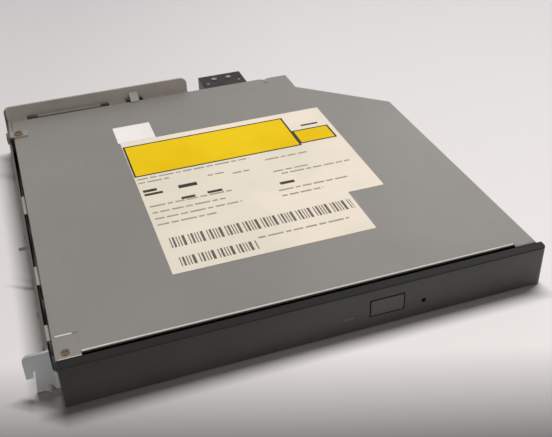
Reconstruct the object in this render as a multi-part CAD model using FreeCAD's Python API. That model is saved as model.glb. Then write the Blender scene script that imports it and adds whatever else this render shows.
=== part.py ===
import FreeCAD, Part
import math
import os

# Slim tray-load optical disc writer in its sheet-metal mounting bracket.
# Millimetres. X to the right, Y to the back, Z up, origin at the centre of the case's underside.

V = FreeCAD.Vector
Z_AXIS = V(0, 0, 1)

# Case
body_w = 128.0
body_d = 126.1
body_h = 12.7
base_sheet = 0.6
cover_sheet = 0.6
wall_gap = 0.1
cover_set_back = 1.35
cover_tab_w = 6.2
cut_corner_x = 26.5
cut_corner_y0 = 35.25
cut_corner_y1 = 11.25
wing_w = 15.0
wing_z = 2.6
lip_drop = 0.3
cover_edge_r = 0.4
pad_drop = 0.12
groove_share = 0.4
groove_w = 1.2
groove_arc_r = 40.0
pad_len = 8.4
rear_notch_x = 28.6
rear_notch_r = 1.5
rivet_y_in = 3.2
rivet_r = 0.9
rivet_h = 0.15

# Rails
rail_gap = 0.1
rail_h = 3.6
rail_t = 0.6
rail_depth = 3.2
rail_end_gap = 3.0
run_gap = 0.15
slide_len = 116.0

# Tray and disc
tray_gap = 2.15
tray_floor_t = 0.8
tray_rim_h = 3.65
tray_wall = 0.7
tray_bottom_gap = 0.35
disc_x = 0.0
disc_y = -1.5
disc_d = 120.0
disc_gap = 0.8
disc_ledge_w = 2.3
disc_ledge_h = 1.15

# Bezel, eject button, light window
bezel_t = 2.8
bezel_skin = 1.4
bezel_h = 12.26
bezel_lift = 0.1
bezel_over_right = 1.7
bezel_left_r = 0.35
bezel_right_r = 1.6
bezel_edge_r = 0.3
button_x = 18.95
button_z = 6.45
button_w = 9.3
button_h = 4.9
button_gap = 0.3
button_proud = 0.15
stem_w = 3.0
stem_z0 = 4.2
stem_z1 = 5.2
window_x = 8.5
window_w = 3.6
window_z = 4.7
window_h = 1.3
pin_hole_z = 4.9
pin_hole_from_latch = 7.0
pin_hole_r = 0.7

# Disc mechanism, laid out along a line that runs from the disc centre to the front left
deck_angle = 225.0
deck_z = 1.2
deck_t = 0.8
deck_s0 = -17.0
deck_s1 = 65.4
deck_margin_back = 6.0
deck_margin_front = 6.5
window_back = 16.5
window_front = 58.0
lens_slot_s0 = 40.0
lens_slot_half = 6.4
rod_r = 1.25
rod_z = 4.2
rod_inset = 2.5
sled_half_w = 16.0
sled_back = 12.0
sled_nose = 5.0
sled_gap = 0.6
lens_in = 24.0
lens_out = 58.0
lens_r = 2.0
screw_r = 1.1
screw_z = 3.9
screw_beside = 3.5
screw_len = 58.2
stepper_r = 3.0
stepper_len = 12.6
hub_r = 7.4
hub_top_gap = 0.6
turntable_r = 14.2
rotor_r = 11.5
shaft_r = 1.5
shaft_gap = 0.03
bearing_r = 2.6
damper_r = 2.2
damper_h = 1.6
damper_s = (-13.5, 40.0)
damper_inset = 2.75
deck_cover_t = 0.4
ledge = 1.2

# Boards, latch, ejector, ribbon cable
board_t = 0.8
board_x0 = 5.0
board_to_riser = 2.0
board_to_rear = 33.05
board_to_front = 2.55
tray_board_z = 5.6
rear_board_left = 14.0
rear_board_x1 = 18.0
rear_board_depth = 15.05
connector_in = 30.0
connector_h = 4.4
connector_depth = 7.0
standoff = 1.0
post_r = 1.2
post_left = 3.0
post_back = 10.0
latch_to_riser = 12.5
latch_back = 11.05
latch_pin_r = 0.75
latch_angle = 14.0
latch_z = 4.0
latch_t = 1.3
eject_x = 24.0
eject_z = 5.0
eject_r = 1.55
eject_throw = 12.0
eject_house_len = 23.05
ribbon_w = 9.0
ribbon_t = 0.2
ribbon_top_z = 3.6
ribbon_to_riser = 11.5
ribbon_fold_back = 33.05

# Chips: centre, size and height; the tray board's are set from its rear right or its front right corner
rear_corner_chips = ((-5.5, -26.0, 9.0, 9.0, 1.1), (-25.0, -14.0, 6.5, 6.5, 1.0), (-8.0, -44.0, 4.5, 6.0, 0.9),
                     (-32.0, -5.5, 4.0, 4.0, 0.8), (-18.5, -4.0, 3.5, 2.6, 0.8))
front_corner_chips = ((-22.5, 8.5, 5.0, 3.4, 0.9),)
rear_board_chip_sizes = ((12.0, 7.0, 7.0, 5.0, 0.9), (22.0, 3.5, 3.0, 3.0, 0.8), (54.0, 3.0, 4.0, 2.5, 0.7))

# Rear adapter and bracket
adapter_x0 = 6.4
adapter_x1 = 22.8
adapter_len = 12.1
adapter_z0 = 2.2
adapter_z1 = 11.8
adapter_screws = ((11.6, 8.1), (17.2, 8.1))
adapter_studs = ((8.5, 5.1), (20.5, 4.9))
bracket_t = 0.7
bracket_side_gap = 1.1
bracket_rear_gap = 1.6
bracket_top = 17.5
bracket_bottom = 2.0
bracket_side_top = 11.9
bracket_corner_r = 2.2
bracket_rear_x1 = -0.5
bracket_hole_r = 1.7
bracket_hole_in = (8.0, 30.0)
bracket_hole_z = 8.0
bracket_tabs_y = ((3.2, 13.2), (-32.0, -23.8), (-54.6, -48.7))
bracket_tab_r = 0.5
bracket_nubs_y = (-8.5, -43.5, -56.4)
bracket_peg = (-12.0, 10.4, 0.45, 2.5)
bracket_strap_in = (12.9, 9.2)
bracket_strap_end = 4.6
bracket_strap_t = 0.6
bracket_screw_in = (1.7, 11.0)
ear_y = -58.0
ear_reach = 5.7
ear_corner_r = 1.8
m2_head_r = 1.7
m2_head_h = 0.4
m2_r = 0.8
side_hole_y = (-42.0, 20.0)
side_hole_z = 9.6
mount_hole_out = (10.0, 8.0)
mount_hole_r = 0.8
front_slot_x = (-44.0, -22.0, 0.0, 22.0)

# The ear's outline from its left edge, as (distance, z)
ear_outline = ((0.0, 12.1), (0.0, 5.2), (1.7, 5.2), (2.0, 7.2), (2.4, 7.2), (1.7, 0.3), (3.5, 0.3), (4.7, 2.0),
               (5.4, 2.1), (6.3, 0.1), (7.2, 0.1), (7.3, 2.4), (7.3, 5.0))
# The ledge between case and bracket plate, as (start, end, gap to the case) from the case's left side
ledge_runs = ((0.0, 5.6, 0.05), (9.3, 31.4, 0.7), (34.5, 40.5, 0.05), (42.0, 45.2, 0.05), (46.8, 63.5, 0.05))
finger_in = (42.1, 45.1)

# Label on the cover
label_t = 0.1
label_x0 = -31.2
label_x1 = 38.4
label_step_x = 26.8
label_y0 = -41.6
label_step_y = -21.8
label_y1 = 33.0
tab_x0 = -31.8
tab_x1 = -19.2
tab_y0 = 33.1
tab_y1 = 44.5

# Worked out from the sizes above
half_w = body_w / 2
half_d = body_d / 2
case_inner = cover_sheet + wall_gap + base_sheet
floor_top = base_sheet
cover_under = body_h - cover_sheet
wing_x = half_w - wing_w
wing_top = wing_z + base_sheet
rail_z0 = wing_top + rail_gap
rail_z1 = rail_z0 + rail_h
tray_z0 = rail_z1 + run_gap
tray_floor = tray_z0 + tray_floor_t
tray_top = tray_z0 + tray_rim_h
tray_low = floor_top + tray_bottom_gap
disc_seat = tray_floor + 1.55
disc_r = disc_d / 2
recess_r = disc_r + disc_gap
rail_x = half_w - case_inner
rail_y0 = -half_d + rail_end_gap
rail_y1 = half_d - rail_end_gap
slide_x = rail_x - rail_t - run_gap
tongue_x = slide_x - rail_t - run_gap
tray_wall_x = rail_x - rail_depth - 2.0
front_y = -half_d
bezel_front = front_y - bezel_t
bezel_top = bezel_lift + bezel_h
hub_top = cover_under - hub_top_gap
rod_t = sled_half_w - rod_inset
screw_t = sled_half_w + screw_beside
deck_t0 = -sled_half_w - deck_margin_back
deck_t1 = screw_t + deck_margin_front
damper_t = (deck_t0 + damper_inset, deck_t1 - damper_inset)
latch_pivot_x = wing_x - latch_to_riser
latch_pivot_y = front_y + latch_back
post_x = latch_pivot_x - post_left
post_y = latch_pivot_y + post_back
pin_hole_x = latch_pivot_x - pin_hole_from_latch
board_x1 = wing_x - board_to_riser
board_y1 = half_d - board_to_rear
board_front = front_y + board_to_front
rear_board_x0 = rear_board_left - half_w
rear_board_y0 = half_d - rear_board_depth
connector_x0 = rear_board_x0 + connector_in
connector_z0 = floor_top + standoff + board_t
connector_z1 = connector_z0 + connector_h
eject_house_y0 = half_d - eject_house_len
ribbon_x0 = wing_x - ribbon_to_riser
ribbon_fold_y = front_y + ribbon_fold_back
bracket_hole_x = tuple(inset - half_w for inset in bracket_hole_in)
mount_hole_y = (side_hole_y[0] - mount_hole_out[0], side_hole_y[1] + mount_hole_out[1])
deck_top = deck_z + deck_t


def box(x0, x1, y0, y1, z0, z1):
    return Part.makeBox(x1 - x0, y1 - y0, z1 - z0, V(x0, y0, z0))


def cyl(x, y, z, r, h, axis=Z_AXIS):
    return Part.makeCylinder(r, h, V(x, y, z), axis)


def ring(x, y, z, r_out, r_in, h):
    return cyl(x, y, z, r_out, h).cut(cyl(x, y, z - 1, r_in, h + 2))


def slab(points, z0, z1):
    """Prism on a plan outline given as (x, y) points."""
    wire = Part.makePolygon([V(x, y, z0) for x, y in points] + [V(points[0][0], points[0][1], z0)])
    return Part.Face(wire).extrude(V(0, 0, z1 - z0))


def upright(points, y0, y1):
    """Prism on a front-view outline given as (x, z) points."""
    wire = Part.makePolygon([V(x, y0, z) for x, z in points] + [V(points[0][0], y0, points[0][1])])
    return Part.Face(wire).extrude(V(0, y1 - y0, 0))


def sideways(points, x0, x1):
    """Prism on a side-view outline given as (y, z) points."""
    wire = Part.makePolygon([V(x0, y, z) for y, z in points] + [V(x0, points[0][0], points[0][1])])
    return Part.Face(wire).extrude(V(x1 - x0, 0, 0))


def fuse(shapes):
    solid = shapes[0]
    for s in shapes[1:]:
        solid = solid.fuse(s)
    return solid.removeSplitter()


def fillet_upright(shape, radius, test):
    """Round the vertical edges whose mid point passes the test."""
    edges = []
    for e in shape.Edges:
        a = e.Vertexes[0].Point
        b = e.Vertexes[-1].Point
        if len(e.Vertexes) == 2 and abs(a.x - b.x) < 1e-6 and abs(a.y - b.y) < 1e-6:
            if test((a.x + b.x) / 2, (a.y + b.y) / 2):
                edges.append(e)
    return shape.makeFillet(radius, edges) if edges else shape


def fillet_across(shape, radius, corners):
    """Round the edges that run front to back through the given (x, z) corners."""
    edges = []
    for e in shape.Edges:
        a = e.Vertexes[0].Point
        b = e.Vertexes[-1].Point
        if abs(a.x - b.x) < 1e-6 and abs(a.z - b.z) < 1e-6:
            if any(math.hypot(a.x - x, a.z - z) < 0.01 for x, z in corners):
                edges.append(e)
    return shape.makeFillet(radius, edges) if edges else shape


def in_deck(shape):
    """Turn a shape drawn along +X from the disc centre into the mechanism's own direction."""
    s = shape.copy()
    s.rotate(V(0, 0, 0), Z_AXIS, deck_angle)
    s.translate(V(disc_x, disc_y, 0))
    return s


def case_outline(inset, front):
    """Plan of the case, with its rear right corner cut off, moved inwards by inset."""
    rise = cut_corner_y0 - cut_corner_y1
    run = math.hypot(cut_corner_x, rise)
    nx = rise / run
    ny = cut_corner_x / run
    reach = half_w * nx + (half_d - cut_corner_y0) * ny - inset
    right = half_w - inset
    step = half_w - cut_corner_x - inset
    rear = half_d - inset
    return [(-right, front), (right, front), (right, (reach - nx * right) / ny),
            (step, (reach - nx * step) / ny), (step, rear), (-right, rear)]


def case_wall(inset, thickness, front, z0, z1):
    outer = slab(case_outline(inset, front), z0, z1)
    inner = slab(case_outline(inset + thickness, front - 5), z0 - 1, z1 + 1)
    return outer.cut(inner)


def mirrored(shape):
    return shape.mirror(V(0, 0, 0), V(1, 0, 0))


def side_holes(r):
    """The four holes for the cover screws and the two for mounting screws on the right."""
    tools = []
    for y in side_hole_y:
        tools.append(cyl(half_w - 4, y, side_hole_z, r, 8, V(1, 0, 0)))
        tools.append(cyl(-half_w - 4, y, side_hole_z, r, 8, V(1, 0, 0)))
    return tools


def mount_holes():
    return [cyl(half_w - 4, y, side_hole_z, mount_hole_r, 8, V(1, 0, 0)) for y in mount_hole_y]


def rear_opening(z_top):
    return box(connector_x0 - 0.5, adapter_x1 + 0.5, half_d - 6, half_d + 1, connector_z0 - 0.2, z_top)


def base_plate():
    inset = cover_sheet + wall_gap
    front = front_y + cover_set_back + 0.6
    floor = slab(case_outline(inset, front), 0, base_sheet)
    floor = floor.cut(box(wing_x, half_w, -half_d, half_d, -1, base_sheet + 1))
    wing = slab(case_outline(inset, front), wing_z, wing_top)
    wing = wing.cut(box(-half_w, wing_x - base_sheet, -half_d, half_d, 0, wing_top + 1))
    riser = slab(case_outline(inset, front), 0, wing_top)
    riser = riser.common(box(wing_x - base_sheet, wing_x, -half_d, half_d, 0, wing_top))
    wall = case_wall(inset, base_sheet, front, 0, cover_under - pad_drop - 0.05)
    wall = wall.cut(box(wing_x, half_w, -half_d, half_d, -1, wing_z))
    parts = [floor, wing, riser, wall]
    for x, y in rear_board_holes():
        parts.append(cyl(x, y, 0, 2.2, floor_top + standoff))
    shell = fuse(parts)
    for x, y in rear_board_holes():
        shell = shell.cut(cyl(x, y, -1, m2_r, 6))
    for tool in side_holes(m2_r) + mount_holes():
        shell = shell.cut(tool)
    shell = shell.cut(rear_opening(connector_z1 + 0.2))
    for x in front_slot_x:
        shell = shell.cut(box(x - 5, x + 5, front + 4, front + 5.2, -1, base_sheet + 1))
    return shell.cut(stamped_grooves())


def stamped_grooves():
    """Shallow lines pressed into the underside: an arc about the disc and a frame at the rear."""
    depth = base_sheet * groove_share
    arc = ring(disc_x, disc_y, -1, groove_arc_r + groove_w, groove_arc_r, 1 + depth)
    arc = arc.common(box(-half_w, wing_x - 6, -half_d + 12, half_d - 26, -1, depth))
    outer = box(-half_w + 8, wing_x - 8, half_d - 24, half_d - 20, -1, depth)
    inner = box(groove_w + 8 - half_w, wing_x - 8 - groove_w, half_d - 24 + groove_w, half_d - 20 - groove_w,
                -1, depth)
    lines = [arc, outer.cut(inner)]
    for x in (-half_w + 5, wing_x - 4):
        lines.append(box(x, x + groove_w, -half_d + 14, half_d - 30, -1, depth))
    return Part.makeCompound(lines)


def rear_board_holes():
    y0 = rear_board_y0 + 2.6
    y1 = half_d - case_inner - 2.9
    return [(rear_board_x0 + 3, y0), (rear_board_x0 + 3, y1), (rear_board_x1 - 27, y0), (rear_board_x1 - 3, y0)]


def top_cover():
    front = front_y + cover_set_back
    plate = slab(case_outline(0, front), cover_under, body_h)
    tab_front = front_y + wall_gap
    tabs = [box(-half_w, -half_w + cover_tab_w, tab_front, front + 1, cover_under, body_h),
            box(half_w - cover_tab_w, half_w, tab_front, front + 1, cover_under, body_h)]
    lip = box(-half_w + cover_tab_w + 0.2, half_w - cover_tab_w - 0.2, front, front + cover_sheet,
              cover_under - lip_drop, cover_under)
    skirt = case_wall(0, cover_sheet, front, rail_z0, cover_under)
    plate = fuse([plate] + tabs)
    plate = plate.makeFillet(cover_edge_r, [e for e in plate.Edges if abs(e.CenterOfMass.z - body_h) < 1e-6])
    shell = fuse([plate, lip, skirt])
    pad = (-half_w + cover_sheet, -half_w + cover_tab_w, front_y - 1, front_y + pad_len)
    shell = shell.cut(box(*pad, body_h - pad_drop, body_h + 1))
    pad_under = box(pad[0], pad[1], tab_front, pad[3], cover_under - pad_drop, cover_under)
    shell = shell.fuse(pad_under).removeSplitter()
    for tool in side_holes(m2_r) + mount_holes():
        shell = shell.cut(tool)
    shell = shell.cut(rear_opening(body_h - cover_sheet))
    shell = shell.cut(cyl(-half_w + 2.6, front_y + 2.1, cover_under - 1, m2_r, 3))
    shell = shell.cut(cyl(rear_notch_x, half_d + 0.4, cover_under - 0.1, rear_notch_r, 2))
    return shell.fuse(cyl(rear_notch_x, half_d - rivet_y_in, cover_under, rivet_r, cover_sheet + rivet_h))


def cover_screws():
    shapes = []
    for y in side_hole_y:
        for side in (-1, 1):
            shank = cyl(side * rail_x, y, side_hole_z, m2_r, half_w - rail_x, V(side, 0, 0))
            head = cyl(side * half_w, y, side_hole_z, m2_head_r, m2_head_h, V(side, 0, 0))
            shapes.append(shank.fuse(head).removeSplitter())
    x = -half_w + 2.6
    y = front_y + 2.1
    top = body_h - pad_drop
    shank = cyl(x, y, cover_under - pad_drop, m2_r, cover_sheet)
    shapes.append(shank.fuse(cyl(x, y, top, 1.1, 0.3)).removeSplitter())
    return Part.makeCompound(shapes)


def left_fixed_rail():
    web = box(-rail_x, -rail_x + rail_t, rail_y0, rail_y1, rail_z0, rail_z1)
    low = box(-rail_x, -rail_x + rail_depth, rail_y0, rail_y1, rail_z0, rail_z0 + rail_t)
    top = box(-rail_x, -rail_x + rail_depth, rail_y0, rail_y1, rail_z1 - rail_t, rail_z1)
    return fuse([web, low, top])


def right_fixed_rail():
    rail = mirrored(left_fixed_rail())
    return rail.common(slab(case_outline(case_inner, front_y), 0, body_h))


def left_slide():
    z0 = rail_z0 + rail_t + run_gap
    z1 = rail_z1 - rail_t - run_gap
    y0 = rail_y0 + 1
    depth = rail_depth - 0.2
    web = box(-slide_x, -slide_x + rail_t, y0, y0 + slide_len, z0, z1)
    low = box(-slide_x, -slide_x + depth, y0, y0 + slide_len, z0, z0 + rail_t)
    top = box(-slide_x, -slide_x + depth, y0, y0 + slide_len, z1 - rail_t, z1)
    return fuse([web, low, top])


def right_slide():
    slide = mirrored(left_slide())
    return slide.common(slab(case_outline(case_inner + rail_t + run_gap, front_y), 0, body_h))


def deck_window_outline(gap):
    """Plan of the deck's cover opening, in the mechanism's own direction."""
    half = sled_half_w + 0.6 - gap
    back = gap - window_back
    wide = slab([(back, -half), (window_front, -half), (window_front, half), (back, half)], 0, 20)
    wide = wide.common(cyl(0, 0, 0, disc_r - 1 - gap, 20))
    slot_half = lens_slot_half - gap
    slot_end = lens_out + 5.0 - gap
    slot = slab([(lens_slot_s0, -slot_half), (slot_end, -slot_half), (slot_end, slot_half),
                 (lens_slot_s0, slot_half)], 0, 20)
    return wide.fuse(slot).removeSplitter()


def tray():
    outline = case_outline(tray_gap, front_y)
    plate = slab(outline, tray_z0, tray_top)
    plate = plate.cut(cyl(disc_x, disc_y, tray_floor, recess_r, 10))
    seat = ring(disc_x, disc_y, tray_z0, recess_r, recess_r - disc_ledge_w, tray_floor_t + disc_ledge_h)
    seat = seat.common(slab(outline, 0, 20))
    for angle in (0, 90, 180, 270):
        relief = box(-7, 7, 40, 70, tray_floor, 20)
        relief.rotate(V(0, 0, 0), Z_AXIS, angle)
        relief.translate(V(disc_x, disc_y, 0))
        seat = seat.cut(relief)
    left_wall = box(-tray_wall_x, -tray_wall_x + tray_wall, front_y, half_d - 2.6, tray_low, tray_z0)
    rear_limit = slab(case_outline(tray_gap, front_y - 1), 0, 20)
    right_wall = box(tray_wall_x - tray_wall, tray_wall_x, front_y, half_d - 2.6, wing_top + 0.3, tray_z0)
    right_wall = right_wall.common(rear_limit)
    tongue_z0 = rail_z0 + 2 * (rail_t + run_gap)
    tongue_z1 = rail_z1 - 2 * (rail_t + run_gap)
    left_tongue = box(-tongue_x, -tray_wall_x, front_y + 2, half_d - 2.6, tongue_z0, tongue_z1)
    right_tongue = box(tray_wall_x, tongue_x, front_y + 2, half_d - 2.6, tongue_z0, tongue_z1)
    right_tongue = right_tongue.common(rear_limit)
    front_low = box(-tray_wall_x, wing_x - base_sheet - 0.5, front_y, front_y + 1.2, tray_low, tray_z0)
    front_high = box(wing_x - base_sheet - 0.6, tray_wall_x, front_y, front_y + 1.2, wing_top + 0.3, tray_z0)
    eject_tab = box(eject_x - 1.5, eject_x + 1.5, eject_house_y0 - 2.4, eject_house_y0 - 1.2, eject_z - 1.2,
                    tray_z0)
    parts = [plate, seat, left_wall, right_wall, left_tongue, right_tongue, front_low, front_high, eject_tab]
    for x, y in tray_board_holes():
        parts.append(cyl(x, y, tray_board_z + board_t, 1.8, tray_z0 - tray_board_z - board_t))
    for s in damper_s:
        for t in damper_t:
            parts.append(in_deck(cyl(s, t, deck_top + damper_h, damper_r, tray_z0 - deck_top - damper_h)))
    boss_z = latch_z + latch_t + 0.2
    parts.append(cyl(latch_pivot_x, latch_pivot_y, boss_z, 1.6, tray_z0 - boss_z))
    body = fuse(parts)
    window_low = deck_window_outline(ledge)
    window_high = deck_window_outline(0)
    lower = window_low.common(box(-80, 80, -80, 80, tray_z0 - deck_cover_t, tray_floor - deck_cover_t))
    body = body.cut(in_deck(lower))
    upper = window_high.common(box(-80, 80, -80, 80, tray_floor - deck_cover_t, tray_top + 1))
    body = body.cut(in_deck(upper))
    body = body.cut(box(button_x - stem_w / 2 - 0.4, button_x + stem_w / 2 + 0.4, front_y - 1, front_y + 2,
                        stem_z0 - 0.3, stem_z1 + 0.3))
    body = body.cut(box(window_x - window_w / 2 - 0.2, window_x + window_w / 2 + 0.2, front_y - 1, front_y + 2,
                        window_z - window_h / 2 - 0.2, window_z + window_h / 2 + 0.2))
    body = body.cut(cyl(pin_hole_x, front_y - 1, pin_hole_z, pin_hole_r + 0.3, 3, V(0, 1, 0)))
    body = body.cut(cyl(latch_pivot_x, latch_pivot_y, latch_z, latch_pin_r, 3))
    for x, y in tray_board_holes():
        body = body.cut(cyl(x, y, tray_board_z, m2_r, tray_floor - tray_board_z - 0.3))
    for s in damper_s:
        for t in damper_t:
            body = body.cut(in_deck(cyl(s, t, deck_top, m2_r, 4.6)))
    return body


def tray_board_holes():
    x = board_x1 - 4
    return [(x, board_y1 - 9), (x, board_y1 - 50), (x, front_y + 19), (board_x0 + 3, board_y1 - 4)]


def bezel():
    x0 = -half_w
    x1 = half_w + bezel_over_right
    plate = box(x0, x1, bezel_front, front_y, bezel_lift, bezel_top)
    plate = fillet_upright(plate, bezel_left_r, lambda x, y: y < front_y - 1 and x < 0)
    plate = fillet_upright(plate, bezel_right_r, lambda x, y: y < front_y - 1 and x > 0)
    edges = [e for e in plate.Edges if abs(e.CenterOfMass.y - bezel_front) < 0.01 and e.Length > 50]
    plate = plate.makeFillet(bezel_edge_r, edges)
    back = box(x0 + 1.4, x1 - 2.6, bezel_front + bezel_skin, front_y + 1, bezel_lift + 1.2, bezel_top - 1.2)
    for x in (-42.0, -14.0, 3.0, 40.0):
        back = back.cut(box(x - 0.5, x + 0.5, bezel_front, front_y + 1, 0, body_h))
    plate = plate.cut(back)
    half_b = button_w / 2 + button_gap
    tall_b = button_h / 2 + button_gap
    plate = plate.cut(box(button_x - half_b, button_x + half_b, bezel_front - 1, front_y + 1,
                          button_z - tall_b, button_z + tall_b))
    half_n = window_w / 2 + 0.05
    tall_n = window_h / 2 + 0.05
    plate = plate.cut(box(window_x - half_n, window_x + half_n, bezel_front - 1, front_y + 1,
                          window_z - tall_n, window_z + tall_n))
    plate = plate.cut(cyl(pin_hole_x, bezel_front - 1, pin_hole_z, pin_hole_r, bezel_t + 2, V(0, 1, 0)))
    return plate


def eject_button():
    x0 = button_x - button_w / 2
    x1 = button_x + button_w / 2
    z0 = button_z - button_h / 2
    z1 = button_z + button_h / 2
    face = box(x0, x1, bezel_front - button_proud, bezel_front + bezel_skin, z0, z1)
    edges = [e for e in face.Edges if abs(e.CenterOfMass.y - bezel_front + button_proud) < 0.01]
    face = face.makeFillet(0.2, edges)
    flange_y0 = bezel_front + bezel_skin + wall_gap
    flange = box(x0 - 0.9, x1 + 0.9, flange_y0, flange_y0 + 0.5, z0 - 0.7, z1 + 0.7)
    core = box(x0, x1, bezel_front + bezel_skin - 0.2, flange_y0 + 0.1, z0, z1)
    stem = box(button_x - stem_w / 2, button_x + stem_w / 2, flange_y0, front_y + 1.55, stem_z0, stem_z1)
    return fuse([face, core, flange, stem])


def light_pipe():
    return box(window_x - window_w / 2, window_x + window_w / 2, bezel_front, front_y + 1.8,
               window_z - window_h / 2, window_z + window_h / 2)


def deck_keepout():
    return in_deck(box(deck_s0 - 1, 90, -60, deck_t1 + 1, 0, 20))


def main_board():
    z0 = tray_board_z
    board = box(board_x0, board_x1, board_front, board_y1, z0, z0 + board_t).cut(deck_keepout())
    for x, y in tray_board_holes():
        board = board.cut(cyl(x, y, z0 - 1, m2_r + 0.1, 3))
    board = board.cut(cyl(latch_pivot_x, latch_pivot_y, z0 - 1, 2.0, 3))
    return max(board.Solids, key=lambda s: s.Volume)


def chip(x, y, z, w, d, h):
    return box(x - w / 2, x + w / 2, y - d / 2, y + d / 2, z, z + h)


def board_chips():
    rear = [(board_x1 + x, board_y1 + y, w, d, h) for x, y, w, d, h in rear_corner_chips]
    front = [(board_x1 + x, board_front + y, w, d, h) for x, y, w, d, h in front_corner_chips]
    return Part.makeCompound([chip(x, y, tray_board_z - h, w, d, h) for x, y, w, d, h in rear + front])


def eject_switch():
    y0 = front_y + 2.65
    body = box(button_x - 2.5, button_x + 2.5, y0, y0 + 3, tray_board_z - 2.2, tray_board_z)
    nub = box(button_x - 0.8, button_x + 0.8, y0 - 0.3, y0, stem_z0, stem_z1)
    return fuse([body, nub])


def status_led():
    y0 = front_y + 2.65
    return box(window_x - 1.2, window_x + 1.2, y0, y0 + 1.4, tray_board_z - 1.5, tray_board_z)


def tray_screws():
    shapes = []
    for x, y in tray_board_holes():
        head = cyl(x, y, tray_board_z - 0.4, 1.5, 0.4)
        shapes.append(head.fuse(cyl(x, y, tray_board_z, m2_r, 1.6)).removeSplitter())
    return Part.makeCompound(shapes)


def trim_deck(shape, gap):
    """Cut the deck's far corners back to the tray's side and front walls."""
    limit = box(-tray_wall_x + tray_wall + gap, half_w, front_y + 1.6 + gap, half_d, -1, body_h)
    back = limit.copy()
    back.translate(V(-disc_x, -disc_y, 0))
    back.rotate(V(0, 0, 0), Z_AXIS, -deck_angle)
    return shape.common(back)


def deck_frame():
    plate = box(deck_s0, deck_s1, deck_t0, deck_t1, deck_z, deck_top)
    plate = trim_deck(plate, 0.4)
    half = sled_half_w + sled_gap
    s1 = lens_out + sled_nose + 0.8
    window = slab([(sled_back - 0.8, -half), (77 - half, -half), (s1, s1 - 77), (s1, 77 - s1), (77 - half, half),
                   (sled_back - 0.8, half)], 0, 5)
    plate = plate.cut(window)
    motor_notch = box(-stepper_len + 4.4, 4.7, screw_t - stepper_r - 0.3, screw_t + stepper_r + 0.3, 0, 5)
    plate = plate.cut(motor_notch)
    parts = [plate]
    for t in (-rod_t, rod_t):
        parts.append(box(3.0, 5.4, t - 1.8, t + 1.8, deck_z, rod_z + 1.4))
        parts.append(box(s1, deck_s1, t - 1.2, t + 1.2, deck_z, rod_z + 1.4))
    parts.append(box(57.2, 58.8, screw_t - 1.6, screw_t + 1.6, deck_z, screw_z + 1.5))
    parts.append(box(3.0, 5.4, rod_t, screw_t - stepper_r - 0.2, deck_z, deck_top))
    frame = trim_deck(fuse(parts), 0.4)
    for t in (-rod_t, rod_t):
        frame = frame.cut(cyl(2.9, t, rod_z, rod_r + 0.01, 70, V(1, 0, 0)))
    frame = frame.cut(cyl(50, screw_t, screw_z, screw_r + shaft_gap, 20, V(1, 0, 0)))
    frame = frame.cut(cyl(0, 0, 0, bearing_r + shaft_gap, 5))
    for s in damper_s:
        for t in damper_t:
            frame = frame.cut(cyl(s, t, 0, m2_r + 0.2, 5))
    return in_deck(max(frame.Solids, key=lambda p: p.Volume))


def deck_dampers():
    shapes = []
    for s in damper_s:
        for t in damper_t:
            shapes.append(in_deck(ring(s, t, deck_top, damper_r, m2_r + 0.1, damper_h)))
    return Part.makeCompound(shapes)


def deck_screws():
    shapes = []
    for s in damper_s:
        for t in damper_t:
            screw = cyl(s, t, deck_z - 0.3, 1.4, 0.3).fuse(cyl(s, t, deck_z, m2_r - 0.05, 4.6))
            shapes.append(in_deck(screw.removeSplitter()))
    return Part.makeCompound(shapes)


def guide_rods():
    length = deck_s1 - 4.6
    return Part.makeCompound([in_deck(cyl(3.0, t, rod_z, rod_r, length, V(1, 0, 0))) for t in (-rod_t, rod_t)])


def sled_motor():
    can = cyl(4.6 - stepper_len, screw_t, screw_z, stepper_r, stepper_len, V(1, 0, 0))
    flange = box(4.6, 5.4, screw_t - 2.9, screw_t + 2.9, deck_top, screw_z + 2.7)
    motor = can.fuse(flange).removeSplitter()
    return in_deck(motor.cut(cyl(0, screw_t, screw_z, screw_r + shaft_gap, 8, V(1, 0, 0))))


def lead_screw():
    return in_deck(cyl(0.2, screw_t, screw_z, screw_r, screw_len, V(1, 0, 0)))


def motor_board():
    return in_deck(ring(0, 0, deck_top, rotor_r, bearing_r + shaft_gap, 0.3))


def spindle_stator():
    z0 = deck_top + 0.7
    z1 = rod_z + 1.2
    parts = [ring(0, 0, deck_top + 0.3, 4.2, bearing_r + shaft_gap, z1 - deck_top - 0.3)]
    for i in range(9):
        arm = box(3.6, 8.6, -0.8, 0.8, z0 + 0.7, z1 - 0.7)
        coil = box(4.8, 7.9, -1.2, 1.2, z0, z1)
        shoe = box(8.2, 9.8, -2.2, 2.2, z0 + 0.5, z1 - 0.5)
        tooth = fuse([arm, coil, shoe])
        tooth.rotate(V(0, 0, 0), Z_AXIS, i * 40)
        parts.append(tooth)
    return in_deck(fuse(parts))


def spindle_bearing():
    return in_deck(ring(0, 0, deck_z, bearing_r, shaft_r + shaft_gap, 4.7))


def spindle_rotor():
    cup = cyl(0, 0, 3.6, rotor_r, 3.1).cut(cyl(0, 0, 3.0, rotor_r - 0.6, 3.1))
    shaft = cyl(0, 0, deck_z + 0.1, shaft_r, hub_top - deck_z - 0.5)
    return in_deck(cup.fuse(shaft).removeSplitter())


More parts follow.
